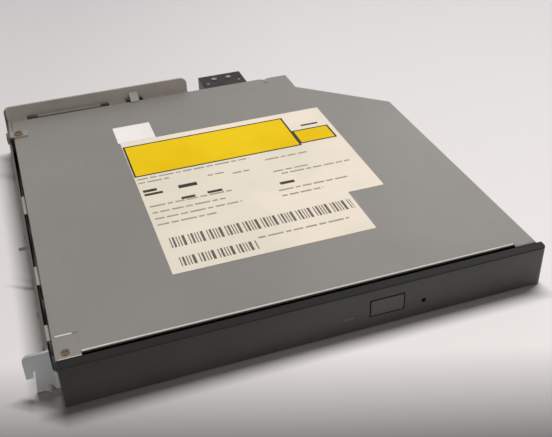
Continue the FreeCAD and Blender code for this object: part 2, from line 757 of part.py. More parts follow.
def turntable():
    z0 = tray_floor + 0.25
    disc = cyl(0, 0, z0, turntable_r, disc_seat - z0 - 0.2)
    neck = cyl(0, 0, 6.7, 4.0, z0 - 6.7)
    boss = cyl(0, 0, z0, hub_r, hub_top - z0)
    edges = [e for e in boss.Edges if abs(e.CenterOfMass.z - hub_top) < 1e-6]
    boss = boss.makeChamfer(0.35, edges)
    hub = fuse([disc, neck, boss])
    for i in range(3):
        slot = box(4.4, hub_r + 1, -1.5, 1.5, disc_seat + 0.3, disc_seat + 1.6)
        slot.rotate(V(0, 0, 0), Z_AXIS, i * 120)
        hub = hub.cut(slot)
    return in_deck(hub.cut(cyl(0, 0, 6, shaft_r, 10)))


def turntable_pad():
    return in_deck(ring(0, 0, disc_seat - 0.2, turntable_r - 0.3, turntable_r - 4.2, 0.2))


def disc_claws():
    shapes = []
    for i in range(3):
        claw = box(4.6, hub_r - 0.1, -1.3, 1.3, disc_seat + 0.3, disc_seat + 1.4)
        claw.rotate(V(0, 0, 0), Z_AXIS, i * 120)
        shapes.append(in_deck(claw))
    return Part.makeCompound(shapes)


def deck_cover():
    plate = deck_window_outline(0.15).common(box(-80, 80, -80, 80, tray_floor - deck_cover_t, tray_floor))
    plate = plate.cut(cyl(0, 0, 0, turntable_r - 1.4, 20))
    plate = plate.cut(box(0, lens_out + 3.6, 0.9 - lens_slot_half, lens_slot_half - 0.9, 0, 20))
    return in_deck(max(plate.Solids, key=lambda p: p.Volume))


def pickup_sled():
    z0 = tray_low + 0.05
    z1 = tray_z0 - 0.2
    s0 = lens_in - sled_back
    s1 = lens_in + sled_nose
    c = 3.2
    body = slab([(s0, -sled_half_w), (s1 - c, -sled_half_w), (s1, c - sled_half_w), (s1, sled_half_w - c),
                 (s1 - c, sled_half_w), (s0, sled_half_w)], z0, z1)
    body = body.cut(cyl(0, 0, 0, rotor_r + 4, 20))
    body = body.cut(box(lens_in - 4.0, lens_in + 4.0, -7.3, 7.3, 3.4, 20))
    body = body.cut(box(s0 - 1, s1 + 1, rod_t - 3, sled_half_w + 1, 0, deck_top + 0.3))
    body = body.cut(box(s0 - 1, s1 + 1, -sled_half_w - 1, 3 - rod_t, 0, deck_top + 0.3))
    for t in (-rod_t, rod_t):
        body = body.cut(cyl(-10, t, rod_z, rod_r + 0.04, 90, V(1, 0, 0)))
    return in_deck(max(body.Solids, key=lambda p: p.Volume))


def sled_nut():
    z0 = screw_z + screw_r + 0.15
    return in_deck(box(lens_in - 9, lens_in - 4.5, sled_half_w, screw_t + 1.2, z0, z0 + 1.2))


def lens_magnets():
    shapes = [in_deck(box(lens_in - 2.6, lens_in + 2.6, t - 0.6, t + 0.6, 3.4, 7.0)) for t in (-6.6, 6.6)]
    return Part.makeCompound(shapes)


def lens_holder():
    body = box(lens_in - 3.2, lens_in + 3.2, -4.8, 4.8, 5.4, 7.9)
    return in_deck(body.cut(cyl(lens_in, 0, 4, lens_r - 0.5, 10)).cut(cyl(lens_in, 0, 7.4, lens_r, 5)))


def objective_lens():
    ball = Part.makeSphere(4.2, V(lens_in, 0, 8.35 - 4.2))
    dome = ball.common(cyl(lens_in, 0, 7.4, lens_r, 2))
    return in_deck(dome)


def latch_lever():
    z0 = latch_z
    z1 = latch_z + latch_t
    px = latch_pivot_x
    py = latch_pivot_y
    arm = box(px - 1.0, px + 0.8, py, post_y + 3.4, z0, z1)
    hook = box(post_x - 0.9, px, post_y + post_r + 0.2, post_y + 3.4, z0, z1)
    tail = box(pin_hole_x - 1.0, px, py - 1.0, py + 1.0, z0, z1)
    lever = fuse([arm, hook, tail, cyl(px, py, z0, 1.8, latch_t)])
    lever = lever.cut(cyl(px, py, 0, latch_pin_r + 0.05, 20))
    lever.rotate(V(px, py, 0), Z_AXIS, -latch_angle)
    return lever


def latch_pin():
    head = cyl(latch_pivot_x, latch_pivot_y, latch_z - 0.5, 1.3, 0.4)
    return head.fuse(cyl(latch_pivot_x, latch_pivot_y, latch_z - 0.2, latch_pin_r, 3.0)).removeSplitter()


def latch_solenoid():
    x0 = latch_pivot_x + 2.6
    body = box(x0, x0 + 7.4, front_y + 2.2, front_y + 9.4, 1.8, tray_board_z)
    return body.fuse(cyl(x0 + 3.7, front_y + 9.4, 3.6, 1.2, 3.2, V(0, 1, 0))).removeSplitter()


def latch_post():
    return cyl(post_x, post_y, floor_top, post_r, latch_z + latch_t - floor_top)


def rear_board():
    z0 = floor_top + standoff
    board = box(rear_board_x0, rear_board_x1, rear_board_y0, half_d - case_inner - 0.2, z0, z0 + board_t)
    for x, y in rear_board_holes():
        board = board.cut(cyl(x, y, z0 - 1, m2_r + 0.1, 3))
    return board


def rear_board_screws():
    z1 = connector_z0
    shapes = []
    for x, y in rear_board_holes():
        shapes.append(cyl(x, y, z1, 1.6, 0.4).fuse(cyl(x, y, floor_top, m2_r, z1 - floor_top)).removeSplitter())
    return Part.makeCompound(shapes)


def rear_board_chips():
    x0 = rear_board_x0
    y0 = rear_board_y0
    z0 = connector_z0
    return Part.makeCompound([chip(x0 + x, y0 + y, z0, w, d, h) for x, y, w, d, h in rear_board_chip_sizes])


def host_connector():
    block = box(connector_x0, rear_board_x1 - 1, half_d - connector_depth, half_d, connector_z0, connector_z1)
    y1 = half_d + 1
    socket = box(adapter_x0 + 0.9, rear_board_x1 - 2.3, half_d - 2.4, y1, connector_z0 + 0.7, connector_z1 - 0.7)
    pins = box(connector_x0 + 1.5, adapter_x0 - 1.0, half_d - 4, y1, connector_z0 + 1.2, connector_z1 - 1.2)
    return block.cut(socket).cut(pins)


def connector_adapter():
    y0 = half_d + wall_gap
    body = box(adapter_x0, adapter_x1, y0, y0 + adapter_len, adapter_z0, adapter_z1)
    edges = [e for e in body.Edges if abs(e.CenterOfMass.z - adapter_z1) < 1e-6]
    body = body.makeFillet(0.5, edges)
    tongue = box(adapter_x0 + 1.3, rear_board_x1 - 2.7, half_d - 2.0, y0, connector_z0 + 1.0, connector_z1 - 1.0)
    slot = box(adapter_x0 + 2.0, adapter_x1 - 2.0, y0 + adapter_len - 5.0, y0 + adapter_len + 1, 5.0, 8.0)
    body = body.fuse(tongue).removeSplitter().cut(slot)
    for x, dy in adapter_screws:
        body = body.cut(cyl(x, half_d + dy, adapter_z1 - 2.4, m2_r, 4))
    for x, dy in adapter_studs:
        body = body.cut(cyl(x, half_d + dy, adapter_z1 - 1.2, 0.5, 2))
    return body


def adapter_pins():
    shapes = []
    for x, dy in adapter_screws:
        pin = cyl(x, half_d + dy, adapter_z1 - 2.4, m2_r, 2.4).fuse(cyl(x, half_d + dy, adapter_z1, 1.0, 0.3))
        shapes.append(pin.removeSplitter())
    shapes += [cyl(x, half_d + dy, adapter_z1 - 1.2, 0.5, 1.25) for x, dy in adapter_studs]
    return Part.makeCompound(shapes)


def ejector_housing():
    y1 = half_d - case_inner - 0.1
    house = box(eject_x - 2.6, eject_x + 2.6, eject_house_y0, y1, floor_top, eject_z + 1.9)
    bore = y1 - eject_house_y0 - 2.4
    house = house.cut(cyl(eject_x, eject_house_y0 + 1.6, eject_z, eject_r + 0.05, bore, V(0, 1, 0)))
    return house.cut(cyl(eject_x, eject_house_y0 - 1, eject_z, 0.95, 4, V(0, 1, 0)))


def ejector_head_y():
    return eject_house_y0 + 1.8 + eject_throw


def ejector_plunger():
    y = ejector_head_y()
    head = cyl(eject_x, y, eject_z, eject_r, 1.6, V(0, 1, 0))
    rod_y0 = eject_house_y0 - 1.1
    rod = cyl(eject_x, rod_y0, eject_z, 0.9, y - rod_y0, V(0, 1, 0))
    return head.fuse(rod).removeSplitter()


def ejector_spring():
    y0 = ejector_head_y() + 1.7
    y1 = half_d - case_inner - 1.0
    tube = cyl(eject_x, y0, eject_z, 1.4, y1 - y0, V(0, 1, 0))
    return tube.cut(cyl(eject_x, y0 - 1, eject_z, 1.0, y1 - y0 + 2, V(0, 1, 0)))


def ribbon_cable():
    x0 = ribbon_x0
    x1 = ribbon_x0 + ribbon_w
    z0 = floor_top + 0.02
    low = box(x0, x1, ribbon_fold_y, 38.0, z0, z0 + ribbon_t)
    low = low.common(slab(case_outline(case_inner + 1.5, front_y), 0, 5))
    leg = box(8.0, x1, 30.5, 38.0, z0, z0 + ribbon_t).common(slab(case_outline(case_inner + 1.5, front_y), 0, 5))
    tail = box(8.0, 16.0, 30.5, rear_board_y0 - 0.2, z0, z0 + ribbon_t)
    rise = box(8.0, 16.0, rear_board_y0 - 0.4, rear_board_y0 - 0.2, z0, connector_z0)
    top = box(x0, x1, ribbon_fold_y, board_y1 - 6, ribbon_top_z, ribbon_top_z + ribbon_t)
    mid = (z0 + ribbon_top_z + ribbon_t) / 2
    r_out = (ribbon_top_z + ribbon_t - z0) / 2
    fold = cyl(x0, ribbon_fold_y, mid, r_out, ribbon_w, V(1, 0, 0))
    fold = fold.cut(cyl(x0 - 1, ribbon_fold_y, mid, r_out - ribbon_t, ribbon_w + 2, V(1, 0, 0)))
    fold = fold.common(box(x0, x1, ribbon_fold_y - 10, ribbon_fold_y, 0, 10))
    return fuse([low, leg, tail, rise, top, fold])


def ribbon_socket():
    x1 = ribbon_x0 + ribbon_w + 0.4
    return box(ribbon_x0 - 1, x1, board_y1 - 6, board_y1 - 2, ribbon_top_z - 0.2, tray_board_z)


def mounting_bracket():
    t = bracket_t
    x_case = -half_w
    x_in = x_case - bracket_side_gap
    x_out = x_in - t
    y_in = half_d + bracket_rear_gap
    y_out = y_in + t
    rear = box(x_out, bracket_rear_x1, y_in, y_out, bracket_bottom, bracket_top)
    rear = fillet_across(rear, bracket_corner_r, ((x_out, bracket_top), (bracket_rear_x1, bracket_top)))
    side = box(x_out, x_in, ear_y, y_out, bracket_bottom, bracket_side_top)
    foot = box(x_in - 0.1, x_case - 0.1, ear_y, y_in + 0.1, bracket_bottom, bracket_bottom + t)
    parts = [rear, side, foot] + bracket_folds(x_out, x_in) + rear_ledge(x_in, y_in)
    for y in bracket_nubs_y:
        nub_top = bracket_side_top - 0.1
        parts.append(box(x_out - 0.45, x_out + 0.1, y - 0.6, y + 0.6, nub_top - 1.3, nub_top))
    peg_y, peg_z, peg_r, peg_len = bracket_peg
    parts.append(cyl(x_out + 0.1, peg_y, peg_z, peg_r, peg_len, V(-1, 0, 0)))
    ear_x = x_out - ear_reach
    ear = upright([(x_in, 12.1)] + [(ear_x + x, z) for x, z in ear_outline] + [(x_in, 6.0)], ear_y - t, ear_y)
    parts.append(fillet_across(ear, ear_corner_r, ((ear_x, ear_outline[0][1]),)))
    strap_y0 = half_d - bracket_strap_in[0]
    strap_y1 = half_d - bracket_strap_in[1]
    strap_top = body_h + bracket_strap_t
    parts.append(box(x_out - 0.5, x_case + bracket_strap_end, strap_y0, strap_y1, body_h, strap_top))
    parts.append(box(x_out - 0.5, x_in, strap_y0, strap_y1, bracket_side_top - 1, strap_top))
    parts.append(box(x_out, x_case - 0.05, strap_y1 - 0.1, y_in + 0.1, body_h - 0.8, body_h - 0.1))
    parts.append(box(x_out, x_in, strap_y1 - 0.1, y_out, bracket_side_top - 0.1, body_h - 0.1))
    plate = fuse(parts)
    for x in bracket_hole_x:
        plate = plate.cut(cyl(x, y_in - 1, bracket_hole_z, bracket_hole_r, 4, V(0, 1, 0)))
    return plate.cut(cyl(x_case + bracket_screw_in[0], half_d - bracket_screw_in[1], body_h - 1, m2_r, 4))


def bracket_folds(x_out, x_in):
    """The side strip's three folds, which turn over and down against the case."""
    folds = []
    top = bracket_side_top
    for y0, y1 in bracket_tabs_y:
        fold = box(x_out, -half_w, y0, y1, top - 5.0, top)
        fold = fillet_across(fold, bracket_tab_r, ((x_out, top), (-half_w, top)))
        folds.append(fold.cut(box(x_in, -half_w - bracket_t, y0 - 1, y1 + 1, 0, top - bracket_t)))
    return folds


def rear_ledge(x_in, y_in):
    """The ledge that closes the slit behind the case, and the finger that holds the cover down."""
    parts = []
    for x0, x1, gap in ledge_runs:
        start = max(x0 - half_w, x_in)
        parts.append(box(start, x1 - half_w, half_d + gap, y_in + 0.1, body_h - 0.8, body_h - 0.1))
    finger = [(y_in + 0.1, body_h + 2.8), (y_in + 0.1, body_h + 2.0), (half_d - 0.9, body_h),
              (half_d - 1.3, body_h), (half_d - 1.3, body_h + 0.5)]
    parts.append(sideways(finger, finger_in[0] - half_w, finger_in[1] - half_w))
    return parts


def bracket_screw():
    x = -half_w + bracket_screw_in[0]
    y = half_d - bracket_screw_in[1]
    head_z = body_h + bracket_strap_t
    return cyl(x, y, body_h, m2_r, bracket_strap_t).fuse(cyl(x, y, head_z, 1.5, 0.5)).removeSplitter()


def main_label():
    outline = [(label_x0, label_y0), (label_step_x, label_y0), (label_step_x, label_step_y),
               (label_x1, label_step_y), (label_x1, label_y1), (label_x0, label_y1)]
    return slab(outline, body_h, body_h + label_t)


def tab_label():
    return box(tab_x0, tab_x1, tab_y0, tab_y1, body_h, body_h + label_t)


MODEL = {
    "base_plate": base_plate,
    "top_cover": top_cover,
    "cover_screws": cover_screws,
    "left_fixed_rail": left_fixed_rail,
    "right_fixed_rail": right_fixed_rail,
    "left_slide": left_slide,
    "right_slide": right_slide,
    "tray": tray,
    "bezel": bezel,
    "eject_button": eject_button,
    "light_pipe": light_pipe,
    "main_board": main_board,
    "board_chips": board_chips,
    "eject_switch": eject_switch,
    "status_led": status_led,
    "tray_screws": tray_screws,
    "deck_frame": deck_frame,
    "deck_dampers": deck_dampers,
    "deck_screws": deck_screws,
    "guide_rods": guide_rods,
    "sled_motor": sled_motor,
    "lead_screw": lead_screw,
    "motor_board": motor_board,
    "spindle_stator": spindle_stator,
    "spindle_bearing": spindle_bearing,
    "spindle_rotor": spindle_rotor,
    "turntable": turntable,
    "turntable_pad": turntable_pad,
    "disc_claws": disc_claws,
    "deck_cover": deck_cover,
    "pickup_sled": pickup_sled,
    "sled_nut": sled_nut,
    "lens_magnets": lens_magnets,
    "lens_holder": lens_holder,
    "objective_lens": objective_lens,
    "latch_lever": latch_lever,
    "latch_pin": latch_pin,
    "latch_solenoid": latch_solenoid,
    "latch_post": latch_post,
    "rear_board": rear_board,
    "rear_board_screws": rear_board_screws,
    "rear_board_chips": rear_board_chips,
    "host_connector": host_connector,
    "connector_adapter": connector_adapter,
    "adapter_pins": adapter_pins,
    "ejector_housing": ejector_housing,
    "ejector_plunger": ejector_plunger,
    "ejector_spring": ejector_spring,
    "ribbon_cable": ribbon_cable,
    "ribbon_socket": ribbon_socket,
    "mounting_bracket": mounting_bracket,
    "bracket_screw": bracket_screw,
    "main_label": main_label,
    "tab_label": tab_label,
}

os.makedirs("parts", exist_ok=True)
for node, make in MODEL.items():
    make().exportStep("parts/" + node + ".step")
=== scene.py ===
"""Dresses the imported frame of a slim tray-load disc writer in its steel mounting bracket.

Sizes are in millimetres in the frame's own coordinates: X to the right, Y to the back, Z up.
Shape and Studio turn them into metres.
"""
import logging
import math
from dataclasses import dataclass
from enum import Enum

import bmesh
import bpy
from mathutils import Matrix, Vector


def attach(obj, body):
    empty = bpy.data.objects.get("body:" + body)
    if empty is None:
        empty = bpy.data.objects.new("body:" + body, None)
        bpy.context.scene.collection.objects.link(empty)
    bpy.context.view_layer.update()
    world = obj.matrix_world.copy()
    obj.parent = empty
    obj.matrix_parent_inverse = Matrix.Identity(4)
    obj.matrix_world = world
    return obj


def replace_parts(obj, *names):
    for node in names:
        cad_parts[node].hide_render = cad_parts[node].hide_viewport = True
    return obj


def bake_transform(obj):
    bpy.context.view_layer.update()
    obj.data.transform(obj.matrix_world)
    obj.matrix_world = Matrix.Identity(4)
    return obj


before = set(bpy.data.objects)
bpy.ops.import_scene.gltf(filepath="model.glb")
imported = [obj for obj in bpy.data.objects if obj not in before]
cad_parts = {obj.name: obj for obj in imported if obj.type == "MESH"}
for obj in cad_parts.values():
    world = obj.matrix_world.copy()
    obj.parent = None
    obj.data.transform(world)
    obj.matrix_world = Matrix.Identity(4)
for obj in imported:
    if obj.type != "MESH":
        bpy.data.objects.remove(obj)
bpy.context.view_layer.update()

LOG = logging.getLogger("disc_writer")
MM = 0.001
# Faces that meet at more than this angle get a rounded edge, and points this near are one.
SHARP = math.radians(32)
TOUCH = 0.001 * MM
Point = tuple[float, float, float]
Area = tuple[float, float, float, float]


def linear(code: str) -> tuple[float, float, float, float]:
    """Turn an sRGB hex value into a linear colour.

    Args:
        code: Six hex digits after a hash sign.

    Returns:
        Linear red, green and blue, with an alpha of 1.
    """
    parts = [int(code[i:i + 2], 16) / 255 for i in (1, 3, 5)]
    red, green, blue = (c / 12.92 if c <= 0.04045 else ((c + 0.055) / 1.055) ** 2.4 for c in parts)
    return red, green, blue, 1.0


def add_node(tree: bpy.types.NodeTree, kind: str, values: dict | None = None,
             links: dict | None = None) -> bpy.types.Node:
    """Add one shader node with its settings and links.

    Args:
        tree: The material's or world's node tree.
        kind: The node's type, without its common prefix.
        values: Node settings by attribute name, or input values by socket name or number.
        links: Output sockets to link, by input socket name or number.

    Returns:
        The new node.
    """
    node = tree.nodes.new("ShaderNode" + kind)
    for key, value in (values or {}).items():
        if isinstance(key, str) and hasattr(node, key):
            setattr(node, key, value)
        else:
            node.inputs[key].default_value = value
    for key, source in (links or {}).items():
        tree.links.new(source, node.inputs[key])
    return node


class Pattern(Enum):
    """How a surface was made, which decides the pattern of its relief."""

    ROLLED = "rolled sheet"
    MOULDED = "moulded against an eroded tool"
    CAST = "die cast"
    FIBRE = "paper fibres"
    TURNED = "turned about the disc's axis"
    WOUND = "wound wire"
    BOARD = "solder mask over copper tracks"
    SMOOTH = "polished"


@dataclass(frozen=True)
class Stretch:
    """One end or side of a piece whose tone differs from the rest; on the bracket's ear and the bezel's top
    this is painted light and painted shade.

    Attributes:
        axis: Axis along which the tone changes.
        start: Where the change begins, in millimetres.
        end: Where it is complete.
        colour: Tone past the end.
        metallic: How metallic it is there.
    """

    axis: str
    start: float
    end: float
    colour: str
    metallic: float = 0.0


@dataclass(frozen=True)
class Finish:
    """One real material with the way its surface was made.

    Attributes:
        name: The material's common name and process.
        colour: Main colour.
        tint: Colour that the patches drift to.
        patch_mm: Size of those patches.
        pattern: How the surface was made.
        grain_mm: Spacing of the relief.
        depth_mm: Height of the relief.
        roughness: Middle of the roughness range.
        metallic: 1 for bare metal.
        ior: Refractive index, or None to keep the default.
        edge: Colour that handling brings out along the edges, if any; it also paints a highlight on them.
        edge_mm: Width of that rubbed line.
        stretches: Ends or sides with a different tone, which can be painted light or painted shade.
        shader: Further values set on the shader's own sockets.
    """

    name: str
    colour: str
    tint: str
    patch_mm: float
    pattern: Pattern
    grain_mm: float
    depth_mm: float
    roughness: float
    metallic: float = 0.0
    ior: float | None = None
    edge: str | None = None
    edge_mm: float = 0.25
    stretches: tuple[Stretch, ...] = ()
    shader: tuple[tuple[str, float], ...] = ()

    def material(self) -> bpy.types.Material:
        """Give this finish's material, made on its first use.

        Returns:
            The material.
        """
        known = bpy.data.materials.get(self.name)
        return known if known else self.build()

    def build(self) -> bpy.types.Material:
        """Make the node tree.

        Returns:
            The finished material.
        """
        material = bpy.data.materials.new(self.name)
        material.use_nodes = True
        tree = material.node_tree
        shader = tree.nodes["Principled BSDF"]
        place = add_node(tree, "TexCoord").outputs["Object"]
        patches = add_node(tree, "TexNoise", {"Scale": 1 / (self.patch_mm * MM), "Detail": 4.0},
                           {"Vector": place})
        colour = self.blend_colours(tree, patches.outputs["Fac"], self.colour, self.tint, 0.36, 0.64)
        relief = self.relief(tree, place)
        if self.pattern is Pattern.BOARD:
            colour = self.tracks(tree, place, colour)
        # edges get rubbed wear together with a painted highlight
        if self.edge:
            colour = self.rubbed_edges_and_highlight(tree, colour)
        colour = self.stretched(tree, place, colour)
        tree.links.new(colour, shader.inputs["Base Color"])
        low, high = self.roughness * 0.85, self.roughness * 1.15
        gloss = add_node(tree, "MapRange", {"To Min": low, "To Max": high}, {"Value": relief})
        tree.links.new(gloss.outputs["Result"], shader.inputs["Roughness"])
        bump = add_node(tree, "Bump", {"Strength": 1.0, "Distance": self.depth_mm * MM}, {"Height": relief})
        tree.links.new(bump.outputs["Normal"], shader.inputs["Normal"])
        shader.inputs["Metallic"].default_value = self.metallic
        if self.ior is not None:
            shader.inputs["IOR"].default_value = self.ior
        for socket, value in self.shader:
            shader.inputs[socket].default_value = value
        material.diffuse_color = linear(self.colour)
        return material

    def stretched(self, tree: bpy.types.NodeTree, place: bpy.types.NodeSocket,
                  colour: bpy.types.NodeSocket) -> bpy.types.NodeSocket:
        """Change the tone over the finish's stretches, and how metallic they are.

        Args:
            tree: The material's node tree.
            place: Coordinates on the piece.
            colour: Colour away from the stretches.

        Returns:
            The colour socket with every stretch laid in.
        """
        axes = add_node(tree, "SeparateXYZ", {}, {"Vector": place}) if self.stretches else None
        for part in self.stretches:
            reach = add_node(tree, "MapRange", {"From Min": part.start * MM, "From Max": part.end * MM},
                             {"Value": axes.outputs[part.axis]})
            mix = add_node(tree, "Mix", {"data_type": "RGBA", 7: linear(part.colour)},
                           {0: reach.outputs["Result"], 6: colour})
            colour = mix.outputs[2]
            if part.metallic != self.metallic:
                shader = tree.nodes["Principled BSDF"]
                shine = add_node(tree, "MapRange", {"To Min": self.metallic, "To Max": part.metallic},
                                 {"Value": reach.outputs["Result"]})
                tree.links.new(shine.outputs["Result"], shader.inputs["Metallic"])
        return colour

    @staticmethod
    def blend_colours(tree: bpy.types.NodeTree, amount: bpy.types.NodeSocket, first: str, second: str,
                      start: float, end: float) -> bpy.types.NodeSocket:
        """Run from one colour to another as an amount grows.

        Args:
            tree: The material's node tree.
            amount: Socket that drives the change.
            first: Colour at and below start.
            second: Colour at and above end.
            start: Amount at which the change begins.
            end: Amount at which it is complete.

        Returns:
            The colour socket.
        """
        ramp = add_node(tree, "ValToRGB", {}, {"Fac": amount})
        stops = ramp.color_ramp.elements
        stops[0].position, stops[1].position = start, end
        stops[0].color, stops[1].color = linear(first), linear(second)
        return ramp.outputs["Color"]

    def relief(self, tree: bpy.types.NodeTree, place: bpy.types.NodeSocket) -> bpy.types.NodeSocket:
        """Draw the surface's relief.

        Args:
            tree: The material's node tree.
            place: Coordinates on the piece.

        Returns:
            The height socket.
        """
        per_metre = 1 / (self.grain_mm * MM)
        hub_y, wave_turn = 1.5 * MM, 0.314
        wave = {"Scale": wave_turn * per_metre, "Distortion": 0.4, "Detail": 1.0}
        if self.pattern is Pattern.ROLLED:
            drawn = add_node(tree, "Mapping", {"Scale": (1.0, 0.05, 1.0)}, {"Vector": place})
            noise = add_node(tree, "TexNoise", {"Scale": per_metre, "Detail": 5.0},
                             {"Vector": drawn.outputs["Vector"]})
            return noise.outputs["Fac"]
        if self.pattern is Pattern.TURNED:
            centred = add_node(tree, "Mapping", {"Location": (0.0, hub_y, 0.0)}, {"Vector": place})
            rings = add_node(tree, "TexWave", {"wave_type": "RINGS", "rings_direction": "Z", **wave},
                             {"Vector": centred.outputs["Vector"]})
            return rings.outputs["Fac"]
        if self.pattern is Pattern.WOUND:
            bands = add_node(tree, "TexWave", {"bands_direction": "DIAGONAL", **wave}, {"Vector": place})
            return bands.outputs["Fac"]
        if self.pattern is Pattern.MOULDED:
            grain = {"Scale": per_metre, "feature": "SMOOTH_F1", "Smoothness": 0.7}
            cells = add_node(tree, "TexVoronoi", grain, {"Vector": place})
            return cells.outputs["Distance"]
        detail = 9.0 if self.pattern is Pattern.FIBRE else 3.0
        noise = add_node(tree, "TexNoise", {"Scale": per_metre, "Detail": detail, "Distortion": 0.6},
                         {"Vector": place})
        return noise.outputs["Fac"]

    def tracks(self, tree: bpy.types.NodeTree, place: bpy.types.NodeSocket,
               colour: bpy.types.NodeSocket) -> bpy.types.NodeSocket:
        """Lay lighter copper tracks and tinned through-holes under the solder mask.

        Args:
            tree: The material's node tree.
            place: Coordinates on the piece.
            colour: Colour of the mask between the tracks.

        Returns:
            The colour socket with tracks and holes.
        """
        track_mm, hole_mm = 2.2, 3.4
        spacing = {"distance": "MANHATTAN", "Scale": 1 / (track_mm * MM), "Randomness": 0.8}
        cells = add_node(tree, "TexVoronoi", spacing, {"Vector": place})
        lines = add_node(tree, "MapRange", {"From Min": 0.42, "From Max": 0.5},
                         {"Value": cells.outputs["Distance"]})
        tracked = add_node(tree, "Mix", {"data_type": "RGBA", 7: linear("#3C7A4A")},
                           {0: lines.outputs["Result"], 6: colour})
        spots = add_node(tree, "TexVoronoi", {"Scale": 1 / (hole_mm * MM)}, {"Vector": place})
        holes = add_node(tree, "MapRange", {"From Min": 0.1, "From Max": 0.07},
                         {"Value": spots.outputs["Distance"]})
        dotted = add_node(tree, "Mix", {"data_type": "RGBA", 7: linear("#C9C3AE")},
                          {0: holes.outputs["Result"], 6: tracked.outputs[2]})
        return dotted.outputs[2]

    def rubbed_edges_and_highlight(self, tree: bpy.types.NodeTree, colour: bpy.types.NodeSocket) -> bpy.types.NodeSocket:
        """Lighten the edges that hands and tools have rubbed, which also paints a highlight along them.

        Args:
            tree: The material's node tree.
            colour: Colour away from the edges.

        Returns:
            The colour socket with rubbed edges and their painted highlight.
        """
        soft = add_node(tree, "Bevel", {"samples": 6, "Radius": self.edge_mm * MM})
        flat = add_node(tree, "NewGeometry")
        turn = add_node(tree, "VectorMath", {"operation": "DOT_PRODUCT"},
                        {0: soft.outputs["Normal"], 1: flat.outputs["True Normal"]})
        mask = add_node(tree, "MapRange", {"From Min": 0.99, "From Max": 0.86, "To Max": 0.8},
                        {"Value": turn.outputs["Value"]})
        mix = add_node(tree, "Mix", {"data_type": "RGBA", 7: linear(self.edge)},
                       {0: mask.outputs["Result"], 6: colour})
        return mix.outputs[2]


# Zinc-plated steel sheet, cold rolled: a matt warm grey with faint drifts of tone and fine lines along it.
# The sheet's real lines are about 0.1 mm apart and are drawn at 0.5 mm to show.
COVER_STEEL = Finish("zinc_plated_steel_rolled", "#B3AFAB", "#B8B5B0", 34.0, Pattern.ROLLED, 0.5, 0.002, 0.52,
                     metallic=0.8)
# The same sheet on the rolled hem and the pad's lip, coloured pale and barely metallic as a painted highlight:
# bright and smooth.
HEM_HIGHLIGHT_STEEL = Finish("zinc_plated_steel_hem_painted_highlight", "#E6E2D5", "#EFECE2", 6.0, Pattern.ROLLED, 0.5, 0.002, 0.42,
                   metallic=0.25)
# The same sheet on the underside, a little brighter where it wasn't handled.
BASE_STEEL = Finish("zinc_plated_steel_base", "#9C9894", "#ABA7A2", 18.0, Pattern.ROLLED, 0.5, 0.004, 0.42,
                    metallic=0.9, edge="#DEDBD6")
# Hot-dip galvanised bracket steel: brown-grey and uneven and darker along the side strip; the ear is coloured
# pale and not metallic as painted light on its front.
BRACKET_STEEL = Finish("galvanised_steel_pressed", "#C9C4BC", "#D2CDC6", 9.0, Pattern.CAST, 1.2, 0.006, 0.36,
                       metallic=0.92, stretches=(Stretch("X", -64.95, -65.1, "#85817C", 0.92),
                                                 Stretch("Y", -57.0, -60.0, "#F2F5FA", 0.0)))
# Ground spring steel rails, bright and smooth from sliding.
RAIL_STEEL = Finish("carbon_steel_ground", "#A8A6A2", "#B7B5B1", 8.0, Pattern.ROLLED, 0.4, 0.003, 0.3,
                    metallic=1.0)
# Hardened and polished rod: a clear mirror line along its length.
ROD_STEEL = Finish("stainless_steel_polished", "#C4C2BF", "#CFCDCA", 5.0, Pattern.SMOOTH, 0.6, 0.001, 0.14,
                   metallic=1.0)
# Black-oxide machine screws: near black with a dull blue-grey sheen.
SCREW_BLACK = Finish("steel_screw_black_oxide", "#2B2A2A", "#3A3938", 1.5, Pattern.CAST, 0.3, 0.004, 0.38,
                     metallic=0.9, edge="#77736E", edge_mm=0.15)
# Passivated zinc screws, yellowed to a copper tone.
SCREW_COPPER = Finish("steel_screw_yellow_zinc", "#8A6A58", "#AC8A72", 0.8, Pattern.CAST, 0.3, 0.005, 0.3,
                      metallic=0.95, edge="#E8DACB", edge_mm=0.12)
# ABS front, moulded in an eroded tool: near black with a very fine even grain, with painted shade making it
# darkest along the top.
# The real grain is about 0.08 mm and is drawn at 0.35 mm to show.
BEZEL_ABS = Finish("abs_moulded_black_fine", "#3A3933", "#403F39", 14.0, Pattern.MOULDED, 0.35, 0.008, 0.46,
                   ior=1.5, stretches=(Stretch("Z", 12.05, 12.25, "#0F0E0C"),))
# The same plastic on the button, worn a little smoother by fingers.
BUTTON_ABS = Finish("abs_moulded_black_button", "#403F39", "#464540", 6.0, Pattern.MOULDED, 0.3, 0.006, 0.4,
                    ior=1.52)
# Glass-filled polycarbonate tray: matt black with a coarser grain.
TRAY_PC = Finish("polycarbonate_moulded_black", "#1B1B1C", "#262626", 12.0, Pattern.MOULDED, 0.5, 0.015, 0.5,
                 ior=1.5, edge="#4C4C4B", edge_mm=0.3)
# Connector housings in glass-filled nylon: black, slightly waxy.
NYLON_BLACK = Finish("nylon_moulded_black", "#1E1E1D", "#282827", 4.0, Pattern.MOULDED, 0.4, 0.01, 0.44,
                     ior=1.5, edge="#4A4A48", edge_mm=0.2)
# Acetal parts: white, smooth and faintly translucent.
ACETAL_WHITE = Finish("acetal_moulded_white", "#DAD8D0", "#E6E4DC", 4.0, Pattern.MOULDED, 0.4, 0.005, 0.35,
                      ior=1.48, shader=(("Subsurface Weight", 0.08), ("Subsurface Scale", 0.001)))
# The same plastic in charcoal, trued on the lathe: faint rings about the disc's axis.
HUB_ACETAL = Finish("acetal_moulded_hub", "#2A2B2D", "#34353A", 4.0, Pattern.TURNED, 0.5, 0.01, 0.34,
                    ior=1.48, edge="#5F6063", edge_mm=0.2)
# Acrylic light pipe, polished: dark grey-green, with a soft glow of what lies behind.
WINDOW_ACRYLIC = Finish("acrylic_polished_clear", "#4A5244", "#58604F", 1.6, Pattern.SMOOTH, 0.8, 0.002, 0.2,
                        ior=1.49, shader=(("Transmission Weight", 0.35),))
